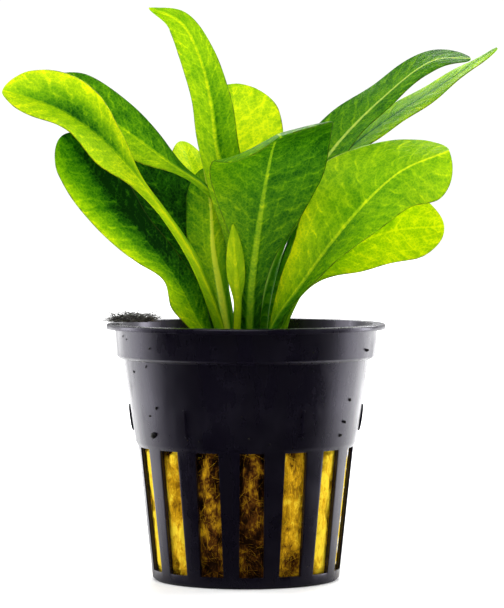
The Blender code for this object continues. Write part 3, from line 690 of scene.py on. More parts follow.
def finish_tree(tree, output, instances, material, merge=0.0):
    """Realises the instances, closes their seams where asked, sets the material and ends the tree."""
    shape = add_node(tree, "GeometryNodeRealizeInstances", {0: instances}).outputs[0]
    if merge:
        shape = add_node(tree, "GeometryNodeMergeByDistance", {
            "Geometry": shape, "Distance": merge}).outputs[0]
    shape = add_node(tree, "GeometryNodeSetMaterial", {"Geometry": shape, "Material": material}).outputs[0]
    tree.links.new(shape, output.inputs[0])


def repeat_tree(material):
    """Repeats a bay about the upright axis."""
    tree, given, output = tree_with("repeat_about_axis", [
        ("Count", "NodeSocketInt", 15), ("Turn", "NodeSocketFloat", 0.0)])
    points = add_node(tree, "GeometryNodePoints", {"Count": given["Count"]}).outputs[0]
    step = maths(tree, "DIVIDE", 2 * math.pi, given["Count"])
    index = add_node(tree, "GeometryNodeInputIndex").outputs[0]
    angle = plus(tree, times(tree, index, step), given["Turn"])
    turn = add_node(tree, "ShaderNodeCombineXYZ", {2: angle}).outputs[0]
    copies = add_node(tree, "GeometryNodeInstanceOnPoints", {
        "Points": points, "Instance": given["Geometry"], "Rotation": turn}).outputs[0]
    finish_tree(tree, output, copies, material, merge=SEAM)
    return tree


def repeated(name, mesh, tree, count, turn):
    """A mesh that is a bay repeated about the axis."""
    bay = mesh_object(name + "_bay", mesh)
    modifier_inputs(bay, tree, {"Count": count, "Turn": turn})
    return settle(name, bay)


# ---- Pot ----

def slotted_bay(section, slot, step, slot_half_width, rib_columns=4, slot_columns=6):
    """A sector of a turned section with one slot through it, facing the front.

    section is a closed loop of (radius, height). slot is (first, last) indices of the rows on the outer side
    and (first, last) on the inner side that the slot lies between, the inner pair in the same order.
    """
    (outer_first, outer_last), (inner_first, inner_last) = slot
    columns = 2 * rib_columns + slot_columns
    bm = bmesh.new()
    grid = []
    for radius, height in section:
        edge = math.asin(min(slot_half_width / max(radius, 1e-6), math.sin(step / 2 * 0.98)))
        angles = [-step / 2 + (step / 2 - edge) * n / rib_columns for n in range(rib_columns)]
        angles += [-edge + 2 * edge * n / slot_columns for n in range(slot_columns + 1)]
        angles += [edge + (step / 2 - edge) * (n + 1) / rib_columns for n in range(rib_columns)]
        grid.append([bm.verts.new((radius * math.sin(a), -radius * math.cos(a), height)) for a in angles])
    low, high = rib_columns, rib_columns + slot_columns
    outer_rows = set(range(outer_first, outer_last))
    inner_rows = set(range(min(inner_first, inner_last), max(inner_first, inner_last)))
    for row in range(len(section)):
        below = grid[(row + 1) % len(section)]
        for n in range(columns):
            if low <= n < high and row in outer_rows | inner_rows:
                continue
            bm.faces.new((grid[row][n], grid[row][n + 1], below[n + 1], below[n]))
    inward = 1 if inner_last > inner_first else -1
    pairs = [(outer_first + k, inner_first + inward * k) for k in range(outer_last - outer_first + 1)]
    for (a, b), (c, d) in zip(pairs, pairs[1:]):
        for n in (low, high):
            bm.faces.new((grid[a][n], grid[c][n], grid[d][n], grid[b][n]))
    for a, b in (pairs[0], pairs[-1]):
        for n in range(low, high):
            bm.faces.new((grid[a][n], grid[a][n + 1], grid[b][n + 1], grid[b][n]))
    bmesh.ops.remove_doubles(bm, verts=bm.verts, dist=SEAM)
    bmesh.ops.dissolve_degenerate(bm, edges=bm.edges, dist=0.001 * MM)
    return outward_mesh(bm, "bay")


def pot_section(pot):
    """The closed outline of the wall from the lip down the outside and up the inside, and the slot's rows."""
    top, lip, shoulder = POT_HIGH.z, POT_HIGH.x, 0.5 * MM
    lip_under = top - 1.0 * MM
    slot_top = pot.cage_height - shoulder
    slot_heights = [slot_top + (SLOT_FOOT - slot_top) * n / 6 for n in range(7)]

    def cage(height, depth=0.0):
        return pot.cage_foot + (pot.cage_top - pot.cage_foot) * height / pot.cage_height - depth

    outside = [
        (lip - 0.25 * MM, top), (lip, top - 0.25 * MM), (lip, lip_under), (pot.collar_radius, lip_under),
        (pot.collar_radius - 0.3 * MM, pot.collar_foot + shoulder),
        (pot.collar_radius - 0.8 * MM, pot.collar_foot), (pot.body_top, pot.collar_foot - shoulder / 2),
        ((pot.body_top + pot.body_foot) / 2, (pot.collar_foot + pot.cage_height) / 2),
        (pot.body_foot, pot.cage_height + shoulder),
        (pot.body_foot - shoulder / 2, pot.cage_height + 0.05 * MM)]
    outer_first = len(outside)
    outside += [(cage(z), z) for z in slot_heights]
    outer_last = len(outside) - 1
    outside += [(cage(shoulder), shoulder), (pot.cage_foot - shoulder, 0.0)]
    inside = [(cage(0.0, pot.wall) - 0.3 * MM, 0.0)]
    inner_last = len(outside) + len(inside)
    inside += [(cage(z, pot.wall), z) for z in reversed(slot_heights)]
    inner_first = len(outside) + len(inside) - 1
    inside += [
        (pot.body_foot - pot.wall, pot.cage_height + 2 * shoulder),
        (pot.body_top - pot.wall, pot.collar_foot + shoulder / 2),
        (pot.collar_radius - 0.3 * MM - pot.wall, pot.collar_foot + 2 * shoulder),
        (pot.collar_radius - pot.wall, top - 0.1 * MM), (pot.collar_radius - pot.wall + 0.1 * MM, top)]
    return outside + inside, ((outer_first, outer_last), (inner_first, inner_last))


def floor_section(pot):
    """The floor plate as a thin closed outline, out from the axis along its top and back underneath."""
    hub, rim, edge = 7.0 * MM, 15.6 * MM, pot.cage_foot - 0.55 * pot.wall
    top, under = 1.3 * MM, 0.2 * MM
    rows = [hub + (rim - hub) * n / 4 for n in range(5)]
    radii = [0.01 * MM, 0.5 * hub, *rows, edge]
    section = [(r, top) for r in radii] + [(r, under) for r in reversed(radii)]
    last = len(section) - 1
    return section, ((2, 6), (last - 2, last - 6))


def lug_mesh(pot):
    """A slim fin with a curved edge, facing the front."""
    bm = bmesh.new()
    slope = (pot.body_top - pot.body_foot) / (pot.collar_foot - pot.cage_height)
    steps = 12
    rings = []
    for n in range(steps + 1):
        swing = math.pi * n / steps
        height = LUG_CENTRE - LUG_HALF_HEIGHT * math.cos(swing)
        wall = pot.body_foot + slope * (height - pot.cage_height)
        proud = LUG_END_PROUD + LUG_PROUD * math.sin(swing) ** 0.6
        crest = 0.4 * LUG_HALF_WIDTH
        points = [(-LUG_HALF_WIDTH, wall - LUG_ROOT), (-LUG_HALF_WIDTH, wall), (-crest, wall + proud),
                  (crest, wall + proud), (LUG_HALF_WIDTH, wall), (LUG_HALF_WIDTH, wall - LUG_ROOT)]
        rings.append([bm.verts.new((x, -y, height)) for x, y in points])
    skin(bm, rings)
    return outward_mesh(bm, "lug")


def softened(obj, width, segments):
    """Rounds an object's sharp edges and returns the plain result."""
    bevel = obj.modifiers.new("soft_edges", "BEVEL")
    bevel.width = width
    bevel.segments = segments
    bevel.limit_method = "ANGLE"
    bevel.angle_limit = math.radians(32.0)
    made = settle(obj.name, obj)
    shade(made.data, 45.0)
    return made


class PLANT_OT_pot(bpy.types.Operator):
    """Builds the slotted pot with its floor and stacking lugs"""
    bl_idname = "plant.pot"
    bl_label = "Net pot"

    def execute(self, context):
        pot = context.scene.plant_pot
        plastic = pot_plastic(pot)
        tree = repeat_tree(plastic)
        section, slot = pot_section(pot)
        step = 2 * math.pi / pot.slot_count
        wall_bay = slotted_bay(section, slot, step, pot.slot_width / 2)
        wall = softened(repeated("wall", wall_bay, tree, pot.slot_count, pot.slot_turn), 0.16 * MM, 2)
        section, slot = floor_section(pot)
        step = 2 * math.pi / pot.floor_slots
        plate_bay = slotted_bay(section, slot, step, FLOOR_SLOT_HALF_WIDTH, 5, 3)
        plate = softened(repeated("plate", plate_bay, tree, pot.floor_slots, step / 2), 0.1 * MM, 1)
        lugs = repeated("lugs", lug_mesh(pot), tree, pot.lug_count, pot.lug_turn)
        shade(lugs.data)
        keep(joined("net_pot_moulding", [wall, plate, lugs]), "pot_plastic", "net_pot")
        return {"FINISHED"}


def grit_grain():
    """A grain a unit long with a rough outline."""
    bm = bmesh.new()
    bmesh.ops.create_icosphere(bm, subdivisions=2, radius=0.5)
    for vert in bm.verts:
        vert.co *= 1.0 + 0.35 * noise.noise(vert.co * 3.1 + Vector((2.0, 5.0, 1.0)))
    mesh = outward_mesh(bm, "grain")
    mesh.shade_smooth()
    return mesh


def grit_tree(material):
    """A turned grain on every point, as long as the point's attribute size says."""
    tree, given, output = tree_with("grit_on_wall", [
        ("Grain", "NodeSocketObject", None), ("Seed", "NodeSocketInt", SEED)])
    grain = add_node(tree, "GeometryNodeObjectInfo", {"Object": given["Grain"]}).outputs["Geometry"]
    size = add_node(tree, "GeometryNodeInputNamedAttribute", {"Name": "size"}, data_type="FLOAT").outputs[0]
    turn = add_node(tree, "FunctionNodeRandomValue", {"Max": (6.0, 6.0, 0.6), "Seed": given["Seed"]},
                    data_type="FLOAT_VECTOR").outputs[0]
    scale = add_node(tree, "ShaderNodeCombineXYZ", {
        0: times(tree, size, 0.6), 1: times(tree, size, 0.6), 2: size}).outputs[0]
    grains = add_node(tree, "GeometryNodeInstanceOnPoints", {
        "Points": given["Geometry"], "Instance": grain, "Rotation": turn, "Scale": scale}).outputs[0]
    finish_tree(tree, output, grains, material)
    return tree


class PLANT_OT_grit(bpy.types.Operator):
    """Scatters the grit that clings to the pot"""
    bl_idname = "plant.grit"
    bl_label = "Grit"

    def execute(self, context):
        pot = context.scene.plant_pot
        places, sizes = [], []
        for degrees, height, size in GRIT:
            angle, z = math.radians(degrees), height * MM
            if z > pot.collar_foot:
                radius = pot.collar_radius - 0.15 * MM
            else:
                share = (z - pot.cage_height) / (pot.collar_foot - pot.cage_height)
                radius = pot.body_foot + (pot.body_top - pot.body_foot) * share
            places.append((radius * math.sin(angle), -radius * math.cos(angle), z))
            sizes.append(size * MM)
        mesh = bpy.data.meshes.new("grit_places")
        mesh.from_pydata(places, [], [])
        mesh.attributes.new("size", "FLOAT", "POINT").data.foreach_set("value", sizes)
        points = mesh_object("grit_places", mesh)
        grain = mesh_object("grain", grit_grain())
        modifier_inputs(points, grit_tree(grit_stone()), {"Grain": grain, "Seed": SEED})
        piece = settle("grit", points, grain)
        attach(piece, "root")
        return {"FINISHED"}


# ---- Wool, crown and tuft ----

# How dark the wool is behind each slot, from the front slot round towards +X, from 0 to 1. It holds soaked
# patches and painted shade, darkest at the front and palest at the sides.
SOAK_AND_SHADE = [1.05, .58, .0, .0, .3, .2, .5, .15, .4, .25, .5, .2, .05, .22, .96]


def inner_radius(pot, z):
    """The pot's inner radius at a height."""
    if z < pot.cage_height:
        return pot.cage_foot + (pot.cage_top - pot.cage_foot) * z / pot.cage_height - pot.wall
    share = (z - pot.cage_height) / (pot.collar_foot - pot.cage_height)
    return pot.body_foot + (pot.body_top - pot.body_foot) * share - pot.wall


def wool_mesh(pot):
    """The plug as a closed turned grid that bulges and sinks like torn wool. Its darkness, soaking and
    painted shade in its hollows and under the wall, is an attribute.
    """
    around, foot, top = 420, WOOL_LOW.z, WOOL_HIGH.z
    up = 150
    gap = 0.22 * MM
    verts, soak_and_shade_values = [], []
    pocket = CROWN_HIGH.x * 0.7
    profile = [((inner_radius(pot, foot) - gap) * share, foot) for share in np.linspace(0.02, 0.96, 18)]
    profile += [(inner_radius(pot, z) - gap, z) for z in np.linspace(foot + 0.5 * MM, top - 0.8 * MM, up)]
    rim = inner_radius(pot, top) - gap
    profile += [(pocket + (rim - 0.6 * MM - pocket) * share, top) for share in np.linspace(1.0, 0.0, 30)]
    for radius, z in profile:
        for n in range(around):
            angle = 2 * math.pi * n / around
            x, y = math.sin(angle), -math.cos(angle)
            slot = ((angle - pot.slot_turn) * pot.slot_count / (2 * math.pi)) % pot.slot_count
            soak = SOAK_AND_SHADE[round(slot) % pot.slot_count]
            off_slot = abs(slot - round(slot)) * 2 * math.pi / pot.slot_count * radius / (pot.slot_width / 2)
            bulge = max(0.0, 1.0 - off_slot**2) if 3.0 * MM < z < pot.cage_height - MM else 0.0
            spot = Vector((x * radius, y * radius, z)) / MM
            lumps = noise.fractal(spot * Vector((0.24, 0.24, 0.16)), 1.0, 2.0, 3)
            tears = noise.fractal(spot * Vector((0.55, 0.55, 0.3)) + Vector((9.0, 0.0, 4.0)), 0.9, 2.1, 4)
            under_wall = max(0.0, 1.0 - abs(z - pot.cage_height) / (4.5 * MM)) * max(0.0, 0.6 + 2.0 * lumps)
            hollow = max(0.0, lumps - 0.05) * 2.6 + soak * 0.5 + under_wall * 1.2
            depth = (hollow + 0.45 * tears) * MM
            sideways = min(max((radius / rim - 0.5) * 3.0, 0.0), 1.0)
            inset = max(depth, 0.0) * sideways - 0.5 * MM * bulge
            lift = (0.7 * tears * MM) if z == top else 0.0
            verts.append((x * (radius - inset), y * (radius - inset), min(z + lift, WOOL_HIGH.z + 0.6 * MM)))
            # Darkness: soaking from the slot's table, painted shade in the hollows with paler bumps, painted
            # shade at the wall's step above the slots, and a darker top face
            wetness_and_shade = soak * 0.8 + 0.4 * lumps + 0.35 * under_wall + (0.35 if z == top else 0.0)
            soak_and_shade_values.append(min(1.0, max(0.0, wetness_and_shade)))
    mesh = turned_mesh("wool", verts, around)
    mesh.attributes.new("soak", "FLOAT", "POINT").data.foreach_set("value", soak_and_shade_values)
    return mesh


def strand_mesh(name, bend, thickness, pieces=5, sides=3):
    """A curved tapering strand a unit long that starts at the origin and rises along Z."""
    bm = bmesh.new()
    rings = []
    for n in range(pieces + 1):
        share = n / pieces
        radius = thickness * (1.0 - 0.75 * share)
        centre = Vector((bend * share * share, 0.25 * bend * math.sin(3.0 * share), share))
        rings.append([bm.verts.new(centre + Vector((radius * math.cos(a), radius * math.sin(a), 0.0)))
                      for a in (2 * math.pi * k / sides for k in range(sides))])
    skin(bm, rings)
    mesh = outward_mesh(bm, name)
    mesh.shade_smooth()
    return mesh


def fibre_tree(name, material):
    """Strands scattered over a surface, leaning over by a random angle, each with the surface's darkness
    attribute of soaking and painted shade.
    """
    tree, given, output = tree_with(name, [
        ("Strand", "NodeSocketObject", None), ("Count", "NodeSocketInt", 100),
        ("Length", "NodeSocketFloat", 3.0 * MM), ("Lean Least", "NodeSocketFloat", 1.2),
        ("Lean Most", "NodeSocketFloat", 1.7), ("Seed", "NodeSocketInt", SEED)])
    face_area = add_node(tree, "GeometryNodeInputMeshFaceArea").outputs[0]
    area = add_node(tree, "GeometryNodeAttributeStatistic", {
        "Geometry": given["Geometry"], "Attribute": face_area}, domain="FACE").outputs["Sum"]
    density = maths(tree, "DIVIDE", given["Count"], area)
    spots = add_node(tree, "GeometryNodeDistributePointsOnFaces", {
        "Mesh": given["Geometry"], "Density": density, "Seed": given["Seed"]})
    lean = add_node(tree, "FunctionNodeRandomValue", {
        2: given["Lean Least"], 3: given["Lean Most"], "Seed": given["Seed"]}).outputs[1]
    twist = add_node(tree, "FunctionNodeRandomValue", {
        2: 0.0, 3: 2 * math.pi, "Seed": plus(tree, given["Seed"], 1.0)}).outputs[1]
    tilt = add_node(tree, "ShaderNodeCombineXYZ", {0: lean}).outputs[0]
    spin = add_node(tree, "ShaderNodeCombineXYZ", {2: twist}).outputs[0]
    turned = add_node(tree, "FunctionNodeRotateRotation", {
        "Rotation": spots.outputs["Rotation"], "Rotate By": spin}, rotation_space="LOCAL").outputs[0]
    turned = add_node(tree, "FunctionNodeRotateRotation", {
        "Rotation": turned, "Rotate By": tilt}, rotation_space="LOCAL").outputs[0]
    size = times(tree, add_node(tree, "FunctionNodeRandomValue", {
        2: 0.5, 3: 1.1, "Seed": plus(tree, given["Seed"], 2.0)}).outputs[1], given["Length"])
    strand = add_node(tree, "GeometryNodeObjectInfo", {"Object": given["Strand"]}).outputs["Geometry"]
    strands = add_node(tree, "GeometryNodeInstanceOnPoints", {
        "Points": spots.outputs["Points"], "Instance": strand, "Rotation": turned, "Scale": size}).outputs[0]
    finish_tree(tree, output, strands, material)
    return tree


def hold_inside(mesh, strand_size, pot):
    """Shifts each strand as a whole until it is inside the pot's wall and above the wool's foot."""
    for first in range(0, len(mesh.vertices), strand_size):
        points = [vert.co for vert in mesh.vertices[first:first + strand_size]]
        rise = max(0.0, WOOL_LOW.z - min(p.z for p in points))
        for p in points:
            p.z += rise
        over = max(math.hypot(p.x, p.y) - inner_radius(pot, p.z) for p in points)
        if over > 0.0:
            middle = sum(points, Vector()) / strand_size
            inward = Vector((-middle.x, -middle.y, 0.0)).normalized() * over
            for p in points:
                p += inward


class PLANT_OT_wool(bpy.types.Operator):
    """Builds the mineral wool plug and its loose fibres"""
    bl_idname = "plant.wool"
    bl_label = "Mineral wool"

    def execute(self, context):
        pot, wool = context.scene.plant_pot, context.scene.plant_wool
        material = mineral_wool(wool, "mineral_wool", 0.0)
        plug = mesh_object("wool_plug_matted", wool_mesh(pot), material)
        surface = mesh_object("wool_surface", plug.data.copy())
        strand = mesh_object("strand", strand_mesh("strand", 0.35, 0.018))
        strand_size = len(strand.data.vertices)
        modifier_inputs(surface, fibre_tree("wool_fibres", mineral_wool(wool, "wool_fibre", 0.25)), {
            "Strand": strand, "Count": wool.fibre_count, "Length": wool.fibre_length,
            "Lean Least": 1.35, "Lean Most": 1.62, "Seed": SEED})
        fibres = settle("wool_fibres", surface, strand)
        hold_inside(fibres.data, strand_size, pot)
        keep(plug, "mineral_wool", "wool_plug")
        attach(fibres, "root")
        return {"FINISHED"}


class PLANT_OT_crown(bpy.types.Operator):
    """Builds the crown, a tight ring of sheathing leaf bases"""
    bl_idname = "plant.crown"
    bl_label = "Crown"

    def execute(self, context):
        around, rows = 180, 36
        verts = []
        for r in range(rows + 1):
            share = r / rows
            z = CROWN_LOW.z + (CROWN_HIGH.z - CROWN_LOW.z) * share
            radius = CROWN_HIGH.x * (0.6 + 0.4 * share)
            for n in range(around):
                angle = 2 * math.pi * n / around
                sheath = 0.35 * MM * abs(math.sin(angle * SHEATHS / 2 + 1.2 * share)) ** 0.6
                rough = 0.3 * MM * noise.noise(Vector((math.cos(angle) * 4, math.sin(angle) * 4, share * 5)))
                reach = radius - 0.55 * MM + sheath + rough
                verts.append((reach * math.cos(angle), reach * math.sin(angle), z))
        for ring in (0.75, 0.5, 0.25):
            for n in range(around):
                angle = 2 * math.pi * n / around
                fold = 0.5 * MM * math.sin(angle * SHEATHS / 2 + ring * 9.0)
                reach = CROWN_HIGH.x * ring
                verts.append((reach * math.cos(angle), reach * math.sin(angle), CROWN_HIGH.z - abs(fold)))
        mesh = turned_mesh("crown", verts, around)
        keep(mesh_object("crown_sheaths", mesh, crown_tissue()), "crown", "crown")
        return {"FINISHED"}


class PLANT_OT_tuft(bpy.types.Operator):
    """Builds the tuft of dried root fibres that lies on the rim"""
    bl_idname = "plant.tuft"
    bl_label = "Root tuft"

    def execute(self, context):
        wool = context.scene.plant_wool
        centre = (TUFT_LOW + TUFT_HIGH) / 2
        half = (TUFT_HIGH - TUFT_LOW) / 2
        bm = bmesh.new()
        bmesh.ops.create_icosphere(bm, subdivisions=3, radius=1.0)
        for vert in bm.verts:
            rough = 1.0 + 0.4 * noise.noise(vert.co * 2.3)
            vert.co = Vector((centre.x + vert.co.x * half.x * 0.72 * rough,
                              centre.y + vert.co.y * half.y * 0.6 * rough,
                              TUFT_LOW.z + (vert.co.z + 1.0) * half.z * 0.3 * rough))
        mesh = outward_mesh(bm, "tuft_mat")
        material = root_fibre(wool)
        mat = mesh_object("tuft_mat", mesh, material)
        surface = mesh_object("tuft_surface", mesh.copy())
        strand = mesh_object("strand", strand_mesh("strand", 0.5, 0.03))
        modifier_inputs(surface, fibre_tree("tuft_fibres", material), {
            "Strand": strand, "Count": wool.root_count, "Length": TUFT_FIBRE,
            "Lean Least": 1.15, "Lean Most": 1.7, "Seed": SEED + 4})
        fibres = settle("tuft_fibres", surface, strand)
        for vert in fibres.data.vertices:
            vert.co.z = max(vert.co.z, TUFT_LOW.z + 0.05 * MM)
        for vert in mat.data.vertices:
            vert.co.z = max(vert.co.z, TUFT_LOW.z)
        keep(joined("root_tuft_fibres", [mat, fibres]), "root_fibre", "root_tuft")
        return {"FINISHED"}


# ---- Leaves ----

def read_evenly(values, shares):
    """Smooth curves through evenly spaced values, read at shares of the way from 0 to 1."""
    values = np.asarray(values, float)
    last = len(values) - 1
    place = np.clip(shares, 0.0, 1.0) * last
    n = np.minimum(place.astype(int), last - 1)
    f = (place - n).reshape(-1, *[1] * (values.ndim - 1))
    ends = np.concatenate([[2 * values[0] - values[1]], values, [2 * values[-1] - values[-2]]])
    a, b, c, d = (ends[n + k] for k in range(4))
    squared, cubed = 2 * a - 5 * b + 4 * c - d, 3 * b - 3 * c + d - a
    return 0.5 * (2 * b + (c - a) * f + squared * f**2 + cubed * f**3)


def smooth_route(points, steps_between=40):
    """Closely spaced points along a centripetal Catmull-Rom curve through the given ones."""
    knots = [Vector(p) * MM for p in points]
    knots = [2 * knots[0] - knots[1], *knots, 2 * knots[-1] - knots[-2]]
    route = []
    for p0, p1, p2, p3 in zip(knots, knots[1:], knots[2:], knots[3:]):
        t1 = math.sqrt((p1 - p0).length)
        t2 = t1 + math.sqrt((p2 - p1).length)
        t3 = t2 + math.sqrt((p3 - p2).length)
        for step in range(steps_between):
            t = t1 + (t2 - t1) * step / steps_between
            a1 = p0.lerp(p1, t / t1)
            a2 = p1.lerp(p2, (t - t1) / (t2 - t1))
            a3 = p2.lerp(p3, (t - t2) / (t3 - t2))
            b1 = a1.lerp(a2, t / t2)
            b2 = a2.lerp(a3, (t - t1) / (t3 - t1))
            route.append(b1.lerp(b2, (t - t1) / (t2 - t1)))
    return np.array(route + [knots[-2]])


def along(points, shares):
    """Points, directions and distances of a route at shares of its length."""
    gaps = np.linalg.norm(np.diff(points, axis=0), axis=1)
    length = np.concatenate([[0.0], np.cumsum(gaps)])
    slopes = np.gradient(points, length, axis=0)
    where = shares * length[-1]
    places = np.stack([np.interp(where, length, points[:, k]) for k in range(3)], axis=1)
    directions = np.stack([np.interp(where, length, slopes[:, k]) for k in range(3)], axis=1)
    return places, directions / np.linalg.norm(directions, axis=1, keepdims=True), where


def leaf_mesh(name, leaf, settings, rows=150, half_columns=18):
    """A closed leaf: an upper and an under surface that share their margins, with the blade's attributes."""
    shares = 1 - (1 - np.linspace(0, 1, rows)) ** 1.3
    places, directions, distance = along(smooth_route(leaf["route"]), shares)
    heading = math.radians(leaf["heading"])
    across = np.tile([-math.sin(heading), math.cos(heading), 0.0], (rows, 1))
    across -= (across * directions).sum(1, keepdims=True) * directions
    across /= np.linalg.norm(across, axis=1, keepdims=True)
    roll = np.radians(read_evenly(leaf["roll"], shares))[:, None]
    across = across * np.cos(roll) + np.cross(directions, across) * np.sin(roll)
    upwards = np.cross(directions, across)

    into_tip = np.maximum(0.0, (shares - 1 + leaf["tip"]) / leaf["tip"])
    rounding = np.sqrt(np.maximum(0.0, 1 - into_tip**2))
    narrowest = 0.12 * MM
    left = np.maximum(read_evenly(leaf["left"], shares) * rounding * MM, narrowest)
    right = np.maximum(read_evenly(leaf.get("right", leaf["left"]), shares) * rounding * MM, narrowest)
    fold = np.radians(read_evenly(leaf["fold"], shares))[:, None]
    stalk = (settings.stalk * np.maximum(1.1 - shares, 0.15))[:, None]
    spread = np.clip((np.minimum(left, right)[:, None] - settings.stalk) / (2.5 * MM), 0, 1)

    steps = np.sin(np.linspace(-1, 1, 2 * half_columns + 1) * math.pi / 2)
    columns = (0.55 * np.linspace(-1, 1, 2 * half_columns + 1) + 0.45 * steps)[None, :]
    side = np.sign(columns)
    half_width = np.where(columns > 0, left[:, None], right[:, None])
    reach = half_width * np.abs(columns)
    middle = (places[:, None] + across[:, None] * (side * reach * np.cos(fold))[..., None]
              + upwards[:, None] * (reach * np.sin(fold))[..., None])
    outwards = (upwards[:, None] * np.cos(fold * np.abs(side))[..., None]
                - across[:, None] * (side * np.sin(fold))[..., None])
    blade = settings.thickness / 2 * (1 - 0.4 * np.abs(columns)) * np.ones_like(reach)
    rib = stalk * np.sqrt(np.maximum(0, 1 - (reach / (1.15 * stalk)) ** 2))

    # Waving margins and a rise of the blade between its side veins
    phase = sum(ord(letter) for letter in name)
    open_blade = spread * np.minimum(1.0, (1 - into_tip[:, None]) * 4)
    wave = (np.sin(distance[:, None] / LONG_WAVE + phase + side)
            + 0.6 * np.sin(distance[:, None] / SHORT_WAVE + 2 * phase))
    wave *= settings.waviness * np.abs(columns) ** 2.5 * open_blade
    veins = distance[:, None] / settings.vein_spacing - VEIN_SLANT * np.abs(columns)
    quilt = settings.quilting * np.abs(np.sin(np.pi * (veins - 0.5))) ** 0.7 * open_blade
    quilt *= np.clip(np.abs(columns) * 6, 0, 1) * (1 - np.abs(columns) ** 6)
    middle = middle + outwards * (wave + quilt)[..., None]

    upper = middle + outwards * np.maximum(blade, rib * (1 - 0.8 * spread))[..., None]
    under = middle - outwards * np.maximum(blade, rib)[..., None]
    for surface in (upper, under):
        surface[:, [0, -1]] = middle[:, [0, -1]]
    ring = np.concatenate([upper, under[:, -2:0:-1]], axis=1)
    ring_columns = np.concatenate([columns, columns[:, -2:0:-1]], axis=1).repeat(rows, axis=0)
    ring_width = np.concatenate([half_width, half_width[:, -2:0:-1]], axis=1) / MM
    per_ring = ring.shape[1]

    tones = read_evenly(leaf["tone"], shares)
    lateral = np.abs(ring_columns)
    tone = np.where(ring_columns > 0, tones[:, 1:2] * (1 - lateral) + tones[:, 0:1] * lateral,
                    tones[:, 2:3] * (1 - lateral) + tones[:, 3:4] * lateral)
    rib_width = np.clip(stalk / MM * 0.95, 0.32, 0.8) * np.ones_like(tone)

    index = np.arange(rows * per_ring).reshape(rows, per_ring)
    following = np.roll(index, -1, axis=1)
    quads = np.stack([index[:-1], following[:-1], following[1:], index[1:]], axis=-1).reshape(-1, 4)
    mesh = bpy.data.meshes.new(name)
    mesh.from_pydata(ring.reshape(-1, 3), [], [*quads.tolist(), index[0][::-1].tolist(), index[-1].tolist()])
    ring_distance = np.broadcast_to(distance[:, None] / MM, tone.shape)
    blade_values = np.stack([ring_columns, ring_width, ring_distance], -1)
    look_values = np.stack([tone, np.full_like(tone, leaf["rib"]), rib_width], -1)
    for label, values in (("blade", blade_values), ("look", look_values)):
        attribute = mesh.attributes.new(label, "FLOAT_VECTOR", "POINT")
        attribute.data.foreach_set("vector", values.astype(np.float32).ravel())
    bm = bmesh.new()
    bm.from_mesh(mesh)
    bmesh.ops.recalc_face_normals(bm, faces=bm.faces)
    bm.to_mesh(mesh)
    bm.free()
    mesh.shade_smooth()
    return mesh


class PLANT_OT_leaves(bpy.types.Operator):
    """Builds every leaf of the rosette"""
    bl_idname = "plant.leaves"
    bl_label = "Leaves"

    def execute(self, context):
        settings = context.scene.plant_leaf
        tissue = leaf_tissue(settings)
        for name, leaf in LEAVES.items():
            piece = mesh_object(name + "_blade", leaf_mesh(name, leaf, settings), tissue)
            keep(piece, "leaf", name)
        return {"FINISHED"}


# ---- Stage ----

def area_light(name, place, target, size, power):
    lamp = bpy.data.lights.new(name, "AREA")
    lamp.shape = "RECTANGLE"
    lamp.size, lamp.size_y = size
    lamp.energy = power
    obj = bpy.data.objects.new(name, lamp)
    obj.location = place
    obj.rotation_euler = (Vector(target) - Vector(place)).to_track_quat("-Z", "Y").to_euler()
    bpy.context.scene.collection.objects.link(obj)


def studio_world():
    """White all round for the eye, dimmer from the front for what it lights, dark there in reflections."""
    world = bpy.data.worlds.new("studio")
    world.use_nodes = True
    tree = world.node_tree
    tree.nodes.clear()
    direction = add_node(tree, "ShaderNodeTexCoord").outputs["Generated"]
    axes = add_node(tree, "ShaderNodeSeparateXYZ", {0: direction}).outputs
    facing = axes[1]
    sideways = times(tree, maths(tree, "ABSOLUTE", axes[0]), 0.8)
    rays = add_node(tree, "ShaderNodeLightPath").outputs
    lighting = fade(tree, facing, -0.9, 0.3, 0.32, 1.0)
    mirrored = fade(tree, plus(tree, times(tree, facing, 0.6), sideways), 0.38, 0.92)
    glossy = rays["Is Glossy Ray"]
    glow = plus(tree, times(tree, glossy, mirrored), times(tree, minus(tree, 1.0, glossy), lighting))
    strength = maths(tree, "MAXIMUM", glow, times(tree, rays["Is Camera Ray"], 1.05))
    background = add_node(tree, "ShaderNodeBackground", {"Color": (1.0, 1.0, 1.0, 1.0), "Strength": strength})
    output = add_node(tree, "ShaderNodeOutputWorld")
    tree.links.new(background.outputs[0], output.inputs[0])
    bpy.context.scene.world = world


def floor_paper(settings):
    # The floor glows, faintly under the pot and fully from 0.3 m out, so that it reads white. At the front it
    # is black in reflections: a painted dark reflection on the pot.
    material, tree, output, place = new_material("floor_paper")
    mottle = noise_of(tree, place, 18.0, 3.0)
    dim = tuple(0.985 * c for c in settings.floor_colour)
    reach = add_node(tree, "ShaderNodeVectorMath", {0: place}, operation="LENGTH").outputs["Value"]
    depth = add_node(tree, "ShaderNodeSeparateXYZ", {0: place}).outputs[1]
    front = fade(tree, depth, -0.035, 0.03, 1.0, 0.0)
    shader = add_node(tree, "ShaderNodeBsdfPrincipled", {
        "Base Color": mix_colours(tree, mottle, settings.floor_colour, dim), "Roughness": 0.7,
        "Specular IOR Level": 0.2, "Emission Color": (1.0, 1.0, 1.0, 1.0),
        "Emission Strength": fade(tree, reach, 0.0, 0.3, 0.1, 1.0)})
    dark = add_node(tree, "ShaderNodeBsdfDiffuse", {"Color": (0.0, 0.0, 0.0, 1.0)})
    glossy = add_node(tree, "ShaderNodeLightPath").outputs["Is Glossy Ray"]
    shown = add_node(tree, "ShaderNodeMixShader", {
        0: times(tree, glossy, front), 1: shader.outputs[0], 2: dark.outputs[0]})
    tree.links.new(shown.outputs[0], output.inputs[0])
    return material


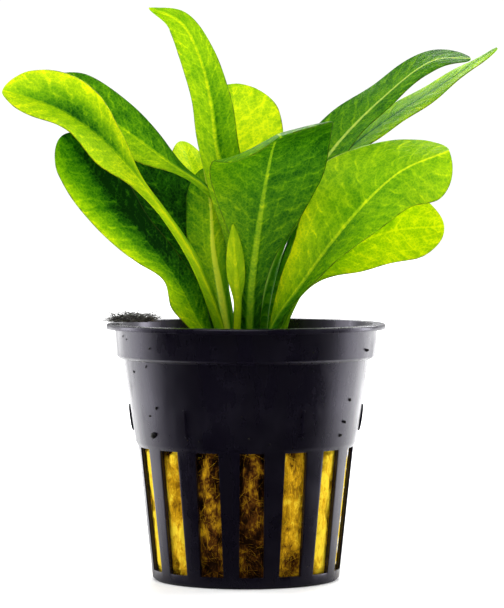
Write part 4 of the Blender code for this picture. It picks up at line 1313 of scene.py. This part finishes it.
class PLANT_OT_stage(bpy.types.Operator):
    """Sets the floor, the lights and the camera"""
    bl_idname = "plant.stage"
    bl_label = "Stage"

    def execute(self, context):
        settings = context.scene.plant_stage
        bm = bmesh.new()
        bmesh.ops.create_circle(bm, cap_ends=True, segments=96, radius=FLOOR_RADIUS)
        mesh = bpy.data.meshes.new("floor")
        bm.to_mesh(mesh)
        bm.free()
        floor = mesh_object("floor", mesh, floor_paper(settings))
        floor.location.z = CAD_LOW.z - FLOOR_DROP

        studio_world()
        for lamp in LAMPS:
            area_light(*lamp)

        camera = bpy.data.cameras.new("camera")
        camera.lens = settings.lens
        camera.clip_start = 0.01
        view = bpy.data.objects.new("camera", camera)
        view.location = (settings.camera_side, -settings.distance, settings.camera_height)
        view.rotation_euler = (math.radians(90.0) - settings.pitch, 0.0, 0.0)
        context.scene.collection.objects.link(view)
        context.scene.camera = view
        context.scene.view_settings.view_transform = "Standard"
        return {"FINISHED"}


class PLANT_PT_panel(bpy.types.Panel):
    """Lists the steps that build the plant"""
    bl_label = "Potted amazon sword"
    bl_idname = "PLANT_PT_panel"
    bl_space_type = "VIEW_3D"
    bl_region_type = "UI"
    bl_category = "Plant"

    def draw(self, context):
        for step in STEPS:
            self.layout.operator(step.bl_idname)
        for group in GROUPS:
            for setting in getattr(context.scene, group).bl_rna.properties:
                if not setting.is_readonly:
                    self.layout.prop(getattr(context.scene, group), setting.identifier)


GROUPS = {"plant_pot": PotSettings, "plant_wool": WoolSettings, "plant_leaf": LeafSettings,
          "plant_stage": StageSettings}
STEPS = (PLANT_OT_pot, PLANT_OT_grit, PLANT_OT_wool, PLANT_OT_crown, PLANT_OT_tuft, PLANT_OT_leaves,
         PLANT_OT_stage)


def register():
    for cls in (*GROUPS.values(), *STEPS, PLANT_PT_panel):
        bpy.utils.register_class(cls)
    for name, cls in GROUPS.items():
        setattr(bpy.types.Scene, name, PointerProperty(type=cls))


def unregister():
    for name in GROUPS:
        delattr(bpy.types.Scene, name)
    for cls in (PLANT_PT_panel, *reversed(STEPS), *reversed(GROUPS.values())):
        bpy.utils.unregister_class(cls)


def main():
    register()
    for step in STEPS:
        family, name = step.bl_idname.split(".")
        getattr(getattr(bpy.ops, family), name)()


if __name__ == "__main__":
    main()
